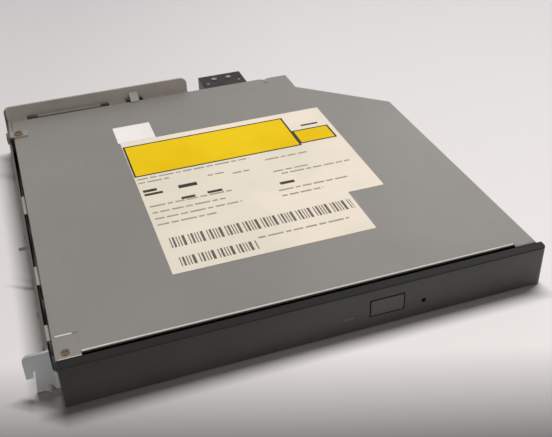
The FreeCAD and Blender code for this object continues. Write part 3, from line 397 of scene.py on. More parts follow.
# Milky epoxy of the status light, unlit: pale green and glossy.
LED_EPOXY = Finish("epoxy_cast_diffuse", "#CFE3C4", "#DCEBD2", 1.0, Pattern.SMOOTH, 0.6, 0.002, 0.22,
                   ior=1.55, shader=(("Transmission Weight", 0.25),))
# Glass-epoxy board: green solder mask over tracks, with tinned holes.
BOARD_GREEN = Finish("glass_epoxy_board_masked", "#1F5A32", "#27663B", 7.0, Pattern.BOARD, 1.1, 0.01, 0.32,
                     ior=1.55)
# Moulded epoxy chip bodies: charcoal with a dusty matt face.
CHIP_EPOXY = Finish("epoxy_moulded_charcoal", "#1D1D1F", "#29292B", 1.5, Pattern.MOULDED, 0.25, 0.006, 0.55,
                    ior=1.55)
# Tin plate on copper leads: soft silver.
TIN_PLATE = Finish("copper_tin_plated", "#C8C6C0", "#D6D4CE", 1.0, Pattern.CAST, 0.3, 0.002, 0.28,
                   metallic=1.0)
# Gold flash on the connectors' contacts: warm yellow and bright.
GOLD_PLATE = Finish("copper_gold_plated", "#D9B25A", "#E3C06C", 1.0, Pattern.CAST, 0.3, 0.002, 0.24,
                    metallic=1.0)
# Drawn music wire: grey and bright.
SPRING_WIRE = Finish("music_wire_drawn", "#A5A3A0", "#B5B3AF", 1.2, Pattern.SMOOTH, 0.3, 0.002, 0.25,
                     metallic=1.0)
# Polyester flat cable: white film with conductors showing as faint lines.
FLAT_CABLE = Finish("polyester_film_laminated", "#DAD9D4", "#E8E7E1", 3.0, Pattern.ROLLED, 0.5, 0.03, 0.3,
                    ior=1.6, shader=(("Coat Weight", 0.3),))
# Gum-backed paper label: warm cream, matt, with faint fibres about 0.3 mm long drawn at 0.6 mm.
LABEL_PAPER = Finish("paper_label_calendered", "#DCD4C2", "#EADDCD", 30.0, Pattern.FIBRE, 0.6, 0.006, 0.65,
                     ior=1.4)
# A second label of plain paper: cooler and whiter.
TAB_PAPER = Finish("paper_label_plain_white", "#E6E0DB", "#ECE6E2", 9.0, Pattern.FIBRE, 0.6, 0.006, 0.65,
                   ior=1.4)
# Printing inks: a solid yellow, a near black and two greys, all flat and slightly satin.
INK_YELLOW = Finish("ink_screen_printed_yellow", "#E0B80A", "#E8C418", 20.0, Pattern.FIBRE, 0.7, 0.004, 0.6,
                    ior=1.3)
INK_BLACK = Finish("ink_screen_printed_black", "#2F2C26", "#3D382F", 3.0, Pattern.FIBRE, 0.5, 0.003, 0.5,
                   ior=1.4)
INK_GREY = Finish("ink_screen_printed_grey", "#938A7C", "#A59C8E", 3.0, Pattern.FIBRE, 0.5, 0.003, 0.55,
                  ior=1.4)
INK_BARS = Finish("ink_screen_printed_bars", "#5C574E", "#6D685E", 3.0, Pattern.FIBRE, 0.5, 0.003, 0.5,
                  ior=1.4)
# Nitrile rubber: deep matt black, a little dusty.
DAMPER_RUBBER = Finish("nitrile_rubber_moulded", "#1C1B1B", "#2A2928", 1.5, Pattern.MOULDED, 0.4, 0.01, 0.75,
                       ior=1.52)
# Silicone pad that the disc sits on: charcoal ring with a soft sheen.
PAD_SILICONE = Finish("silicone_rubber_turned", "#2F3032", "#3A3B3D", 3.0, Pattern.TURNED, 0.4, 0.02, 0.65,
                      ior=1.42)
# Enamelled copper wire, wound: orange-red bands one wire thick.
COIL_COPPER = Finish("copper_wire_enamelled", "#8E4A26", "#B5683A", 0.8, Pattern.WOUND, 0.3, 0.05, 0.3,
                     metallic=0.9)
# Oil-filled sintered brass bearing: dull gold with turning rings.
SLEEVE_BRASS = Finish("brass_turned_sintered", "#A88A4C", "#BB9C5C", 1.5, Pattern.TURNED, 0.3, 0.004, 0.35,
                      metallic=1.0)
# Black powder-coated plate over the mechanism: satin, with a faint orange-peel.
COATED_STEEL = Finish("steel_powder_coated_black", "#232425", "#2D2E2F", 9.0, Pattern.CAST, 0.9, 0.012, 0.42,
                      ior=1.5, edge="#5A5B5B", edge_mm=0.2)
# Zinc die-cast sled: grey, satin, slightly grainy.
SLED_ZINC = Finish("zinc_die_cast", "#83827E", "#94938F", 4.0, Pattern.CAST, 0.5, 0.012, 0.45,
                   metallic=0.85, edge="#C5C3BE", edge_mm=0.25)
# Nickel-plated magnets beside the lens: silver with a faint yellow cast.
MAGNET_NICKEL = Finish("neodymium_nickel_plated", "#B9B7B0", "#C6C4BD", 1.5, Pattern.SMOOTH, 0.5, 0.001, 0.2,
                       metallic=1.0)
# Coated glass lens: clear with a bluish bloom.
LENS_GLASS = Finish("optical_glass_coated", "#C8D4E8", "#D3DDEE", 1.0, Pattern.SMOOTH, 0.9, 0.0005, 0.05,
                    ior=1.52, shader=(("Transmission Weight", 0.85), ("Coat Weight", 0.6)))


class Shape:
    """Gathers the faces of one piece, in millimetres, and turns them into an object."""

    def __init__(self) -> None:
        """Start with no faces."""
        self.mesh = bmesh.new()

    def loft(self, rings: list[list[Point]], capped: bool = True) -> None:
        """Join closed rings of equal length, one after the other.

        Args:
            rings: The rings' points.
            capped: Whether the first and last rings get a face.
        """
        rows = [[self.mesh.verts.new(p) for p in ring] for ring in rings]
        count = len(rows[0])
        for low, high in zip(rows, rows[1:]):
            for i in range(count):
                j = (i + 1) % count
                self.mesh.faces.new((low[i], low[j], high[j], high[i]))
        if capped:
            self.mesh.faces.new(list(reversed(rows[0])))
            self.mesh.faces.new(rows[-1])

    def block(self, low: Point, high: Point) -> None:
        """Add a box, later rounded with the rest of the piece.

        Args:
            low: Its lowest corner.
            high: Its highest corner.
        """
        (x0, y0, z0), (x1, y1, z1) = low, high
        self.prism([(x0, y0), (x1, y0), (x1, y1), (x0, y1)], z0, z1)

    def prism(self, outline: list[tuple[float, float]], z0: float, z1: float) -> None:
        """Raise a plan outline.

        Args:
            outline: Points of the outline.
            z0: Height of its foot.
            z1: Height of its top.
        """
        self.loft([[(x, y, z0) for x, y in outline], [(x, y, z1) for x, y in outline]])

    def turned(self, centre: Point, profile: list[tuple[float, float]], axis: Point = (0, 0, 1),
               steps: int = 40) -> None:
        """Turn a profile about an axis.

        Args:
            centre: Origin of the profile.
            profile: Radius and height of each ring.
            axis: Direction in which the heights count.
            steps: Points round each ring.
        """
        turn = Vector((0, 0, 1)).rotation_difference(Vector(axis)).to_matrix()
        rings = []
        for radius, height in profile:
            angles = [2 * math.pi * i / steps for i in range(steps)]
            local = [Vector((radius * math.cos(a), radius * math.sin(a), height)) for a in angles]
            rings.append([tuple(Vector(centre) + turn @ p) for p in local])
        self.loft(rings)

    def swept(self, path: list[Point], section: list[tuple[float, float]], side: Point | None = None) -> None:
        """Carry a closed section along a path.

        Args:
            path: Points of the path.
            section: Points of the section, across and up.
            side: Fixed direction of across, or None to let it turn with the path.
        """
        points = [Vector(p) for p in path]
        across = Vector(side) if side else None
        rings = []
        for i, p in enumerate(points):
            ahead = (points[min(i + 1, len(points) - 1)] - points[max(i - 1, 0)]).normalized()
            if across is None:
                across = ahead.orthogonal()
            flat = (across - ahead * across.dot(ahead)).normalized()
            up = ahead.cross(flat)
            across = Vector(side) if side else flat
            rings.append([tuple(p + flat * u + up * v) for u, v in section])
        self.loft(rings)

    def rod(self, start: Point, end: Point, radius: float, steps: int = 14) -> None:
        """Add a straight rod with rounded ends.

        Args:
            start: Centre of one end.
            end: Centre of the other end.
            radius: Radius of the rod.
            steps: Points round it.
        """
        reach = Vector(end) - Vector(start)
        cap = [(radius * math.sin(a), -radius * math.cos(a)) for a in (0.15, 0.6, 1.1)]
        tail = [(r, reach.length - h) for r, h in reversed(cap)]
        profile = cap + [(radius, 0.0), (radius, reach.length)] + tail
        self.turned(start, profile, tuple(reach.normalized()), steps)

    def screw(self, centre: Point, outward: Point, head_r: float, head_h: float, shank_r: float,
              shank: float) -> None:
        """Add a cross-recessed pan-head screw.

        Args:
            centre: Where the head meets what it holds.
            outward: Direction that the head faces.
            head_r: Radius of the head.
            head_h: Height of the head.
            shank_r: Radius of the shank.
            shank: Length of the shank.
        """
        arm, half = head_r * 0.56, head_r * 0.17
        corner = math.atan2(half, arm)
        right = math.pi / 2
        quarter = [0, corner * 0.5, corner, 0.52, right / 2, 1.05, right - corner, right - corner * 0.5]
        angles = [q + k * right for k in range(4) for q in quarter]

        def cross(angle: float) -> float:
            """Measure from the centre to the edge of the cross.

            Args:
                angle: Direction in which to measure.

            Returns:
                The distance.
            """
            c, s = max(abs(math.cos(angle)), 1e-6), max(abs(math.sin(angle)), 1e-6)
            return max(min(arm / c, half / s), min(half / c, arm / s))

        point = 0.25
        rows = [(lambda a: shank_r * 0.7, -shank), (lambda a: shank_r, point - shank),
                (lambda a: shank_r, 0.0), (lambda a: head_r, 0.0), (lambda a: head_r, head_h * 0.45),
                (lambda a: head_r * 0.9, head_h * 0.82), (lambda a: head_r * 0.72, head_h), (cross, head_h),
                (lambda a: cross(a) * 0.72, head_h * 0.3)]
        turn = Vector((0, 0, 1)).rotation_difference(Vector(outward)).to_matrix()
        rings = []
        for radius, height in rows:
            local = [Vector((radius(a) * math.cos(a), radius(a) * math.sin(a), height)) for a in angles]
            rings.append([tuple(Vector(centre) + turn @ p) for p in local])
        self.loft(rings)

    def piece(self, name: str, body: str | None, finish: Finish, slot: str, edge: float = 0.0,
              smooth: float = 38.0) -> bpy.types.Object:
        """Turn the faces into an object that rides on a body.

        Args:
            name: The piece's name.
            body: The body that it rides on, or None to attach it to no body.
            finish: Its finish.
            slot: Name of a material slot; not used.
            edge: Width of the rounding along its edges, or 0 for none.
            smooth: Faces that meet at less than this angle shade as one.

        Returns:
            The new object.
        """
        bmesh.ops.recalc_face_normals(self.mesh, faces=self.mesh.faces)
        if edge:
            sharp = [e for e in self.mesh.edges if len(e.link_faces) == 2 and e.calc_face_angle() > SHARP]
            bmesh.ops.bevel(self.mesh, geom=sharp, offset=edge, segments=2, profile=0.5, affect="EDGES",
                            clamp_overlap=True)
        bmesh.ops.scale(self.mesh, vec=(MM, MM, MM), verts=self.mesh.verts)
        data = bpy.data.meshes.new(name)
        self.mesh.to_mesh(data)
        self.mesh.free()
        data.shade_smooth()
        data.set_sharp_from_angle(angle=math.radians(smooth))
        data.materials.append(finish.material())
        thing = bpy.data.objects.new(name, data)
        bpy.context.scene.collection.objects.link(thing)
        if body:
            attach(thing, body)
        LOG.info("piece %s on %s, %d faces, %s", name, body, len(data.polygons), finish.name)
        return thing


def dress(node: str, finish: Finish, edge: float = 0.0) -> None:
    """Give a CAD node its finish.

    Args:
        node: The node's name.
        finish: Its finish.
        edge: Width of the rounding along its edges, or 0 for none.
    """
    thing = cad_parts[node]
    for holder in thing.material_slots:
        holder.material = finish.material()
    if edge:
        weld = thing.modifiers.new("weld", "WELD")
        weld.merge_threshold = TOUCH
        bevel = thing.modifiers.new("rounding", "BEVEL")
        bevel.limit_method = "ANGLE"
        bevel.angle_limit = SHARP
        bevel.width = edge * MM
        bevel.segments = 2
        bevel.miter_outer = "MITER_ARC"
        shade = thing.modifiers.new("shading", "WEIGHTED_NORMAL")
        shade.keep_sharp = False
        shade.weight = 80
    LOG.info("node %s, %s", node, finish.name)


def solids(node: str) -> list[tuple[Vector, Vector]]:
    """Find the separate solids of a CAD node.

    Args:
        node: The node's name.

    Returns:
        The lowest and highest corner of each solid, in millimetres.
    """
    mesh = bmesh.new()
    mesh.from_mesh(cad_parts[node].data)
    bmesh.ops.remove_doubles(mesh, verts=mesh.verts, dist=TOUCH)
    left, found = set(mesh.verts), []
    while left:
        group, todo = [], [left.pop()]
        while todo:
            vert = todo.pop()
            group.append(vert.co / MM)
            near = {e.other_vert(vert) for e in vert.link_edges} & left
            left -= near
            todo.extend(near)
        found.append((Vector(map(min, zip(*group))), Vector(map(max, zip(*group)))))
    mesh.free()
    return sorted(found, key=lambda box: tuple(box[0]))


@dataclass
class Case:
    """The sheet-metal case: base, cover, rails and their screws."""

    wall_x: float = 64.0
    side_head: tuple[float, float] = (1.7, 0.4)
    side_shank: tuple[float, float] = (0.8, 1.3)
    corner_head: tuple[float, float] = (1.1, 0.3)
    corner_shank: tuple[float, float] = (0.75, 0.6)
    rods: tuple[tuple[float, float, float, float, float], ...] = (
        (-57.6, 57.6, -61.6, 12.5, 0.24), (-63.5, -58.0, -62.85, 12.45, 0.13))
    lip: tuple[float, float, float, float, float] = (-63.0, -59.3, -54.82, 12.62, 0.26)

    def build(self) -> None:
        """Make the screws, and the rolled hem along the front edge and the lip behind the corner pad as beads
        that carry a painted highlight.
        """
        shape, corner = Shape(), Shape()
        for low, high in solids("cover_screws"):
            middle = (low + high) / 2
            lies_flat = high.z - low.z > 3
            if lies_flat:
                side = math.copysign(1, middle.x)
                shape.screw((side * self.wall_x, middle.y, middle.z), (side, 0, 0), *self.side_head,
                            *self.side_shank)
            else:
                seat = high.z - self.corner_head[1]
                corner.screw((middle.x, middle.y, seat), (0, 0, 1), *self.corner_head, *self.corner_shank)
        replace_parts(shape.piece("cover_screws_cross", "chassis", SCREW_BLACK, "black_screw"), "cover_screws")
        corner.piece("corner_screw_cross", "chassis", SCREW_COPPER, "copper_screw")
        for name, rods in (("cover_front_hem", self.rods), ("cover_pad_lip", (self.lip,))):
            bead = Shape()
            for x0, x1, y, z, radius in rods:
                bead.rod((x0, y, z), (x1, y, z), radius)
            # the beads' pale finish paints the highlight along the hem and the pad's lip
            bead.piece(name, "chassis", HEM_HIGHLIGHT_STEEL, "zinc_steel")

    def dress(self) -> None:
        """Give the case's nodes their finishes."""
        dress("top_cover", COVER_STEEL)
        dress("base_plate", BASE_STEEL)
        dress("left_fixed_rail", RAIL_STEEL)
        dress("right_fixed_rail", RAIL_STEEL)
        dress("latch_post", RAIL_STEEL)


@dataclass
class Bracket:
    """The pressed bracket round the left side and the rear."""

    strap_top: float = 13.3

    def build(self) -> None:
        """Make the screw that holds the bracket to the cover."""
        shape = Shape()
        low, high = solids("bracket_screw")[0]
        middle = (low + high) / 2
        shape.screw((middle.x, middle.y, self.strap_top), (0, 0, 1), 1.5, 0.5, 0.8, 0.6)
        screw = shape.piece("bracket_screw_cross", "chassis", SCREW_COPPER, "copper_screw")
        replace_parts(screw, "bracket_screw")

    def dress(self) -> None:
        """Give the bracket its finish."""
        dress("mounting_bracket", BRACKET_STEEL, 0.1)


@dataclass
class Labels:
    """The printed paper labels on the cover, left without words or marks.

    Attributes:
        face: Height of the paper's face.
        ink: Thickness of the ink.
        border: Width of the dark line round the yellow panels.
        panel_one: Lowest and highest x and y of the large yellow panel.
        panel_two: The same for the small one.
        bars: The same for each row of bars.
        blocks: The same for each solid block.
        dash_half: Half the height of a dash.
        rule_rows: Middle, start and end of each row of dashes.
    """

    face: float = 12.8
    ink: float = 0.02
    border: float = 0.6
    panel_one: Area = (-31.0, 9.8, 24.1, 30.0)
    panel_two: Area = (24.1, 10.8, 36.9, 19.8)
    bars: tuple[Area, ...] = ((-28.5, -30.2, 25.5, -25.3), (-28.0, -39.1, -6.5, -35.0))
    blocks: tuple[Area, ...] = (
        (-30.2, -1.8, -24.6, -0.6), (-30.2, 0.2, -26.0, 1.6), (-19.6, -1.2, -13.8, 0.6),
        (-20.2, -7.4, -16.0, -6.2), (-12.2, -7.2, -7.6, -6.0), (28.4, 21.9, 34.4, 22.9),
        (9.6, -10.6, 14.2, -9.2))
    dash_half: float = 0.35
    rule_rows: tuple[tuple[float, float, float], ...] = (
        (8.2, -30.6, 5.6), (6.0, -30.6, -21.0), (5.2, 9.9, 24.0), (2.8, -9.5, -4.5), (1.2, -2.0, 3.4),
        (-2.6, 9.9, 22.0), (-4.6, 12.0, 34.6), (-8.0, -30.0, -5.0), (-11.5, -30.0, -8.0),
        (-14.8, -30.0, -4.0), (-18.0, -30.0, -12.0), (-34.2, -5.3, 21.7), (-13.5, 8.0, 30.0),
        (-16.6, 8.0, 21.0))

    def print_layer(self, name: str, boxes: list[Area], finish: Finish, lift: float = 0.0) -> None:
        """Lay a thin layer of ink on the label.

        Args:
            name: The piece's name.
            boxes: Lowest and highest x and y of each printed area.
            finish: The ink.
            lift: Height above the paper at which it starts.
        """
        shape = Shape()
        for x0, y0, x1, y1 in boxes:
            shape.block((x0, y0, self.face + lift), (x1, y1, self.face + lift + self.ink))
        shape.piece(name, "chassis", finish, "label_paper")

    def frame_boxes(self, box: Area) -> list[Area]:
        """Lay a border inside a box.

        Args:
            box: The box.

        Returns:
            The four strips of the border.
        """
        x0, y0, x1, y1 = box
        inner_x0, inner_y0 = x0 + self.border, y0 + self.border
        inner_x1, inner_y1 = x1 - self.border, y1 - self.border
        return [(x0, y0, x1, inner_y0), (x0, inner_y1, x1, y1), (x0, inner_y0, inner_x0, inner_y1),
                (inner_x1, inner_y0, x1, inner_y1)]

    def bar_boxes(self) -> list[Area]:
        """Set out a regular pattern of bars, which carries no code.

        Returns:
            The bars of every row.
        """
        widths = (0.3, 0.6, 0.3, 0.3, 0.8)
        gap, group_gap = 0.5, 1.0
        boxes = []
        for x0, y0, x1, y1 in self.bars:
            x, i = x0, 0
            while x < x1:
                width = widths[i % len(widths)]
                boxes.append((x, y0, min(x + width, x1), y1))
                i += 1
                x += width + (gap if i % len(widths) else group_gap)
        return boxes

    def dash_boxes(self) -> list[Area]:
        """Set out rows of plain dashes in place of the print.

        Returns:
            The dashes of every row.
        """
        lengths = (3.4, 2.1, 4.6, 1.6, 2.8)
        gap = 0.7
        boxes = []
        for row, (y, x0, x1) in enumerate(self.rule_rows):
            x, i = x0, row
            while x < x1:
                length = lengths[i % len(lengths)]
                boxes.append((x, y - self.dash_half, min(x + length, x1), y + self.dash_half))
                x += length + gap
                i += 1
        return boxes

    def build(self) -> None:
        """Make the printed layers."""
        self.print_layer("label_yellow_panels", [self.panel_one, self.panel_two], INK_YELLOW)
        borders = self.frame_boxes(self.panel_one) + self.frame_boxes(self.panel_two)
        self.print_layer("label_panel_borders", borders, INK_BLACK, self.ink)
        self.print_layer("label_bars", self.bar_boxes(), INK_BARS)
        self.print_layer("label_dashes", self.dash_boxes(), INK_GREY)
        self.print_layer("label_blocks", list(self.blocks), INK_BLACK)

    def dress(self) -> None:
        """Give the papers their finish."""
        dress("main_label", LABEL_PAPER)
        dress("tab_label", TAB_PAPER)


@dataclass
class Drawer:
    """The tray with its front, button, board and latch."""

    board_face: float = 5.6

    def build(self) -> None:
        """Make the tray's screws and the legs of its chips."""
        shape = Shape()
        for low, high in solids("tray_screws"):
            middle = (low + high) / 2
            shape.screw((middle.x, middle.y, self.board_face), (0, 0, -1), 1.5, 0.4, 0.8, 1.6)
        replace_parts(shape.piece("tray_screws_cross", "tray", SCREW_BLACK, "black_screw"), "tray_screws")
        legs = Shape()
        for low, high in solids("board_chips"):
            chip_legs(legs, low, high, self.board_face, -1)
        legs.piece("board_chip_legs", "tray", TIN_PLATE, "bright_pin")

    def dress(self) -> None:
        """Give the tray's nodes their finishes."""
        dress("tray", TRAY_PC)
        dress("bezel", BEZEL_ABS, 0.12)
        dress("eject_button", BUTTON_ABS, 0.12)
        dress("light_pipe", WINDOW_ACRYLIC, 0.08)
        dress("status_led", LED_EPOXY, 0.15)
        dress("main_board", BOARD_GREEN)
        dress("board_chips", CHIP_EPOXY, 0.1)
        dress("eject_switch", NYLON_BLACK, 0.1)
        dress("ribbon_socket", ACETAL_WHITE, 0.15)
        dress("latch_lever", ACETAL_WHITE, 0.12)
        dress("latch_pin", ROD_STEEL)
        dress("latch_solenoid", COIL_COPPER, 0.2)


def flat_section(across: float, up: float) -> list[tuple[float, float]]:
    """Give a rectangular section for a swept strip.

    Args:
        across: Half its width.
        up: Half its height.

    Returns:
        The section's four points.
    """
    return [(-across, -up), (across, -up), (across, up), (-across, up)]


def chip_legs(shape: Shape, low: Vector, high: Vector, board_z: float, side: int) -> None:
    """Add gull-wing legs down two sides of a chip.

    Args:
        shape: The shape that takes them.
        low: The chip's lowest corner.
        high: Its highest corner.
        board_z: Height of the board's face.
        side: 1 where the chip stands on the board, -1 where it hangs under it.
    """
    pitch, thick, reach, wide = 0.8, 0.12, 0.75, 0.34
    middle = (low.z + high.z) / 2
    count = max(2, int((high.y - low.y - 0.6) / pitch))
    start = (low.y + high.y) / 2 - (count - 1) * pitch / 2
    foot = board_z + side * thick / 2
    for i in range(count):
        y = start + i * pitch
        for x, out in ((low.x, -1), (high.x, 1)):
            path = [(x - out * 0.1, y, middle), (x + out * 0.22, y, middle),
                    (x + out * 0.38, y, foot + side * 0.02), (x + out * reach, y, foot)]
            shape.swept(path, flat_section(wide / 2, thick / 2), side=(0, 1, 0))


@dataclass
class RearBoard:
    """The fixed board, its connectors, the ejector and the flat cable."""

    board_face: float = 2.4
    spring_turns: int = 6
    adapter_row: tuple[int, float, float] = (12, 9.2, 0.98)
    drive_row: tuple[int, float, float] = (22, -17.8, 1.0)

    def build(self) -> None:
        """Make screws, legs, contacts, spring and cable."""
        shape = Shape()
        for low, high in solids("rear_board_screws"):
            middle = (low + high) / 2
            shape.screw((middle.x, middle.y, self.board_face), (0, 0, 1), 1.6, 0.4, 0.8, 1.8)
        screws = shape.piece("rear_board_screws_cross", "chassis", SCREW_BLACK, "black_screw")
        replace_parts(screws, "rear_board_screws")
        legs = Shape()
        for low, high in solids("rear_board_chips"):
            chip_legs(legs, low, high, self.board_face, 1)
        legs.piece("rear_chip_legs", "chassis", TIN_PLATE, "bright_pin")
        self.contacts()
        self.spring()
        self.cable()

    def contacts(self) -> None:
        """Make the gold contacts in the adapter's slot and in the open part of the drive's own connector."""
        shape = Shape()
        rows = ((self.adapter_row, ((70.4, 6.5), (73.6, 6.5), (74.6, 6.3)), flat_section(0.2, 0.25)),
                (self.drive_row, ((59.2, 4.4), (62.0, 4.4), (62.8, 4.55)), flat_section(0.2, 0.2)))
        for (count, first, pitch), run, section in rows:
            for i in range(count):
                shape.swept([(first + i * pitch, y, z) for y, z in run], section, side=(1, 0, 0))
        shape.piece("connector_contacts", "chassis", GOLD_PLATE, "bright_pin")

    def spring(self) -> None:
        """Make the ejector's compression spring as a coil between the plunger and the housing's end."""
        low, high = solids("ejector_spring")[0]
        wire, round_wire, per_turn = 0.18, 8, 20
        radius = (high.x - low.x) / 2 - wire
        x, z = (low.x + high.x) / 2, (low.z + high.z) / 2
        steps = self.spring_turns * per_turn
        path = []
        for i in range(steps + 1):
            angle = 2 * math.pi * self.spring_turns * i / steps
            y = low.y + wire + (high.y - low.y - 2 * wire) * i / steps
            path.append((x + radius * math.cos(angle), y, z + radius * math.sin(angle)))
        turns = [2 * math.pi * i / round_wire for i in range(round_wire)]
        ring = [(wire * math.cos(a), wire * math.sin(a)) for a in turns]
        shape = Shape()
        shape.swept(path, ring)
        thing = shape.piece("ejector_coil", None, SPRING_WIRE, "spring_wire")
        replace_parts(thing, "ejector_spring")
        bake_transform(thing)

    def cable(self) -> None:
        """Make the flat cable that folds back under the tray."""
        low, high = solids("ribbon_cable")[0]
        half, thick, fold_steps = 4.4, 0.16, 12
        x = high.x - half - 0.1
        bottom, top, socket_y, fold_y = low.z + 0.12, high.z - 0.1, 25.0, -30.0
        tail_x0, tail_x1, tail_y, lift_z = 8.2, 15.8, 47.6, 2.3
        radius = (top - bottom) / 2
        path = [(x, socket_y - i, top) for i in range(int(socket_y - fold_y))]
        for i in range(1, fold_steps):
            angle = math.pi * i / fold_steps
            path.append((x, fold_y - radius * math.sin(angle), bottom + radius + radius * math.cos(angle)))
        path += [(x, fold_y + i, bottom) for i in range(0, 66, 2)]
        shape = Shape()
        shape.swept(path, flat_section(half, thick / 2), side=(1, 0, 0))
        for y0, y1, x1 in ((31.0, 37.6, x - half + 0.05), (37.5, tail_y, tail_x1)):
            shape.block((tail_x0, y0, bottom - thick / 2), (x1, y1, bottom + thick / 2))
        shape.block((tail_x0, tail_y - 0.2, bottom - thick / 2), (tail_x1, tail_y, lift_z))
        thing = shape.piece("flat_cable", None, FLAT_CABLE, "ribbon")
        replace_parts(thing, "ribbon_cable")
        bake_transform(thing)

    def dress(self) -> None:
        """Give the rear nodes their finishes."""
        dress("rear_board", BOARD_GREEN)
        dress("rear_board_chips", CHIP_EPOXY, 0.1)
        dress("host_connector", NYLON_BLACK, 0.1)
        dress("connector_adapter", NYLON_BLACK, 0.15)
        dress("adapter_pins", TIN_PLATE)
        dress("ejector_housing", ACETAL_WHITE, 0.15)
        dress("ejector_plunger", ACETAL_WHITE)


@dataclass
class Slides:
    """The two telescoping slides between the case and the tray."""

    def dress(self) -> None:
        """Give the slides their finish."""
        dress("left_slide", RAIL_STEEL)
        dress("right_slide", RAIL_STEEL)


@dataclass
class Deck:
    """The mechanism under the tray: spindle, sled, lens, rods and motors.

    Attributes:
        centre: The disc's axis in plan.
        angle: Direction of the sled's travel, away from the axis.
        screw_t: Distance of the lead screw beside that line.
        screw_z: Its height.
        pitch: Rise of its thread in one turn.
        frame_foot: Height of the face under which the deck's screws sit.
    """

    centre: tuple[float, float] = (0.0, -1.5)
    angle: float = math.radians(225)
    screw_t: float = 19.5
    screw_z: float = 3.9
    pitch: float = 3.0
    frame_foot: float = 1.2

    def along(self, s: float, t: float, z: float) -> Point:
        """Turn a place on the mechanism into the frame's coordinates.

        Args:
            s: Distance along the line of travel.
            t: Distance beside it.
            z: Height.

        Returns:
            The place in the frame's coordinates.
        """
        c, n = math.cos(self.angle), math.sin(self.angle)
        return self.centre[0] + s * c - t * n, self.centre[1] + s * n + t * c, z

    def build(self) -> None:
        """Make the screws and the lead screw's thread."""
        shape = Shape()
        for low, high in solids("deck_screws"):
            middle = (low + high) / 2
            shape.screw((middle.x, middle.y, self.frame_foot), (0, 0, -1), 1.4, 0.3, 0.75, 4.6)
        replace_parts(shape.piece("deck_screws_cross", "tray", SCREW_BLACK, "black_screw"), "deck_screws")
        self.lead_thread()

    def lead_thread(self) -> None:
        """Make the lead screw as a shaft with a helical groove."""
        core, crest, plain, thread_half = 0.82, 1.1, 0.95, 0.17
        first, steps, length, thread_from, thread_to = 0.3, 24, 58.0, 6.0, 56.0
        rings = []
        count = int(length / self.pitch * steps)
        for i in range(count + 1):
            s = first + length * i / count
            ring = []
            for k in range(steps):
                angle = 2 * math.pi * k / steps
                phase = (s / self.pitch - k / steps) % 1.0
                radius = crest if min(phase, 1 - phase) > thread_half else core
                if s < thread_from or s > thread_to:
                    radius = plain
                ring.append(self.along(s, self.screw_t + radius * math.cos(angle),
                                       self.screw_z + radius * math.sin(angle)))
            rings.append(ring)
        shape = Shape()
        shape.loft(rings[::4] + ([] if count % 4 == 0 else [rings[-1]]))
        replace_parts(shape.piece("lead_screw_thread", "lead_screw", ROD_STEEL, "polished_steel"), "lead_screw")

    def dress(self) -> None:
        """Give the mechanism's nodes their finishes."""
        dress("deck_frame", BASE_STEEL)
        dress("deck_dampers", DAMPER_RUBBER)
        dress("guide_rods", ROD_STEEL)
        dress("sled_motor", RAIL_STEEL)
        dress("motor_board", BOARD_GREEN)
        dress("spindle_stator", COIL_COPPER)
        dress("spindle_bearing", SLEEVE_BRASS)
        dress("deck_cover", COATED_STEEL)
        dress("spindle_rotor", RAIL_STEEL)
        dress("turntable", HUB_ACETAL)
        dress("turntable_pad", PAD_SILICONE)
        dress("disc_claws", ACETAL_WHITE, 0.12)
        dress("pickup_sled", SLED_ZINC)
        dress("sled_nut", ACETAL_WHITE, 0.15)
        dress("lens_magnets", MAGNET_NICKEL, 0.08)
        dress("lens_holder", NYLON_BLACK)
        dress("objective_lens", LENS_GLASS)


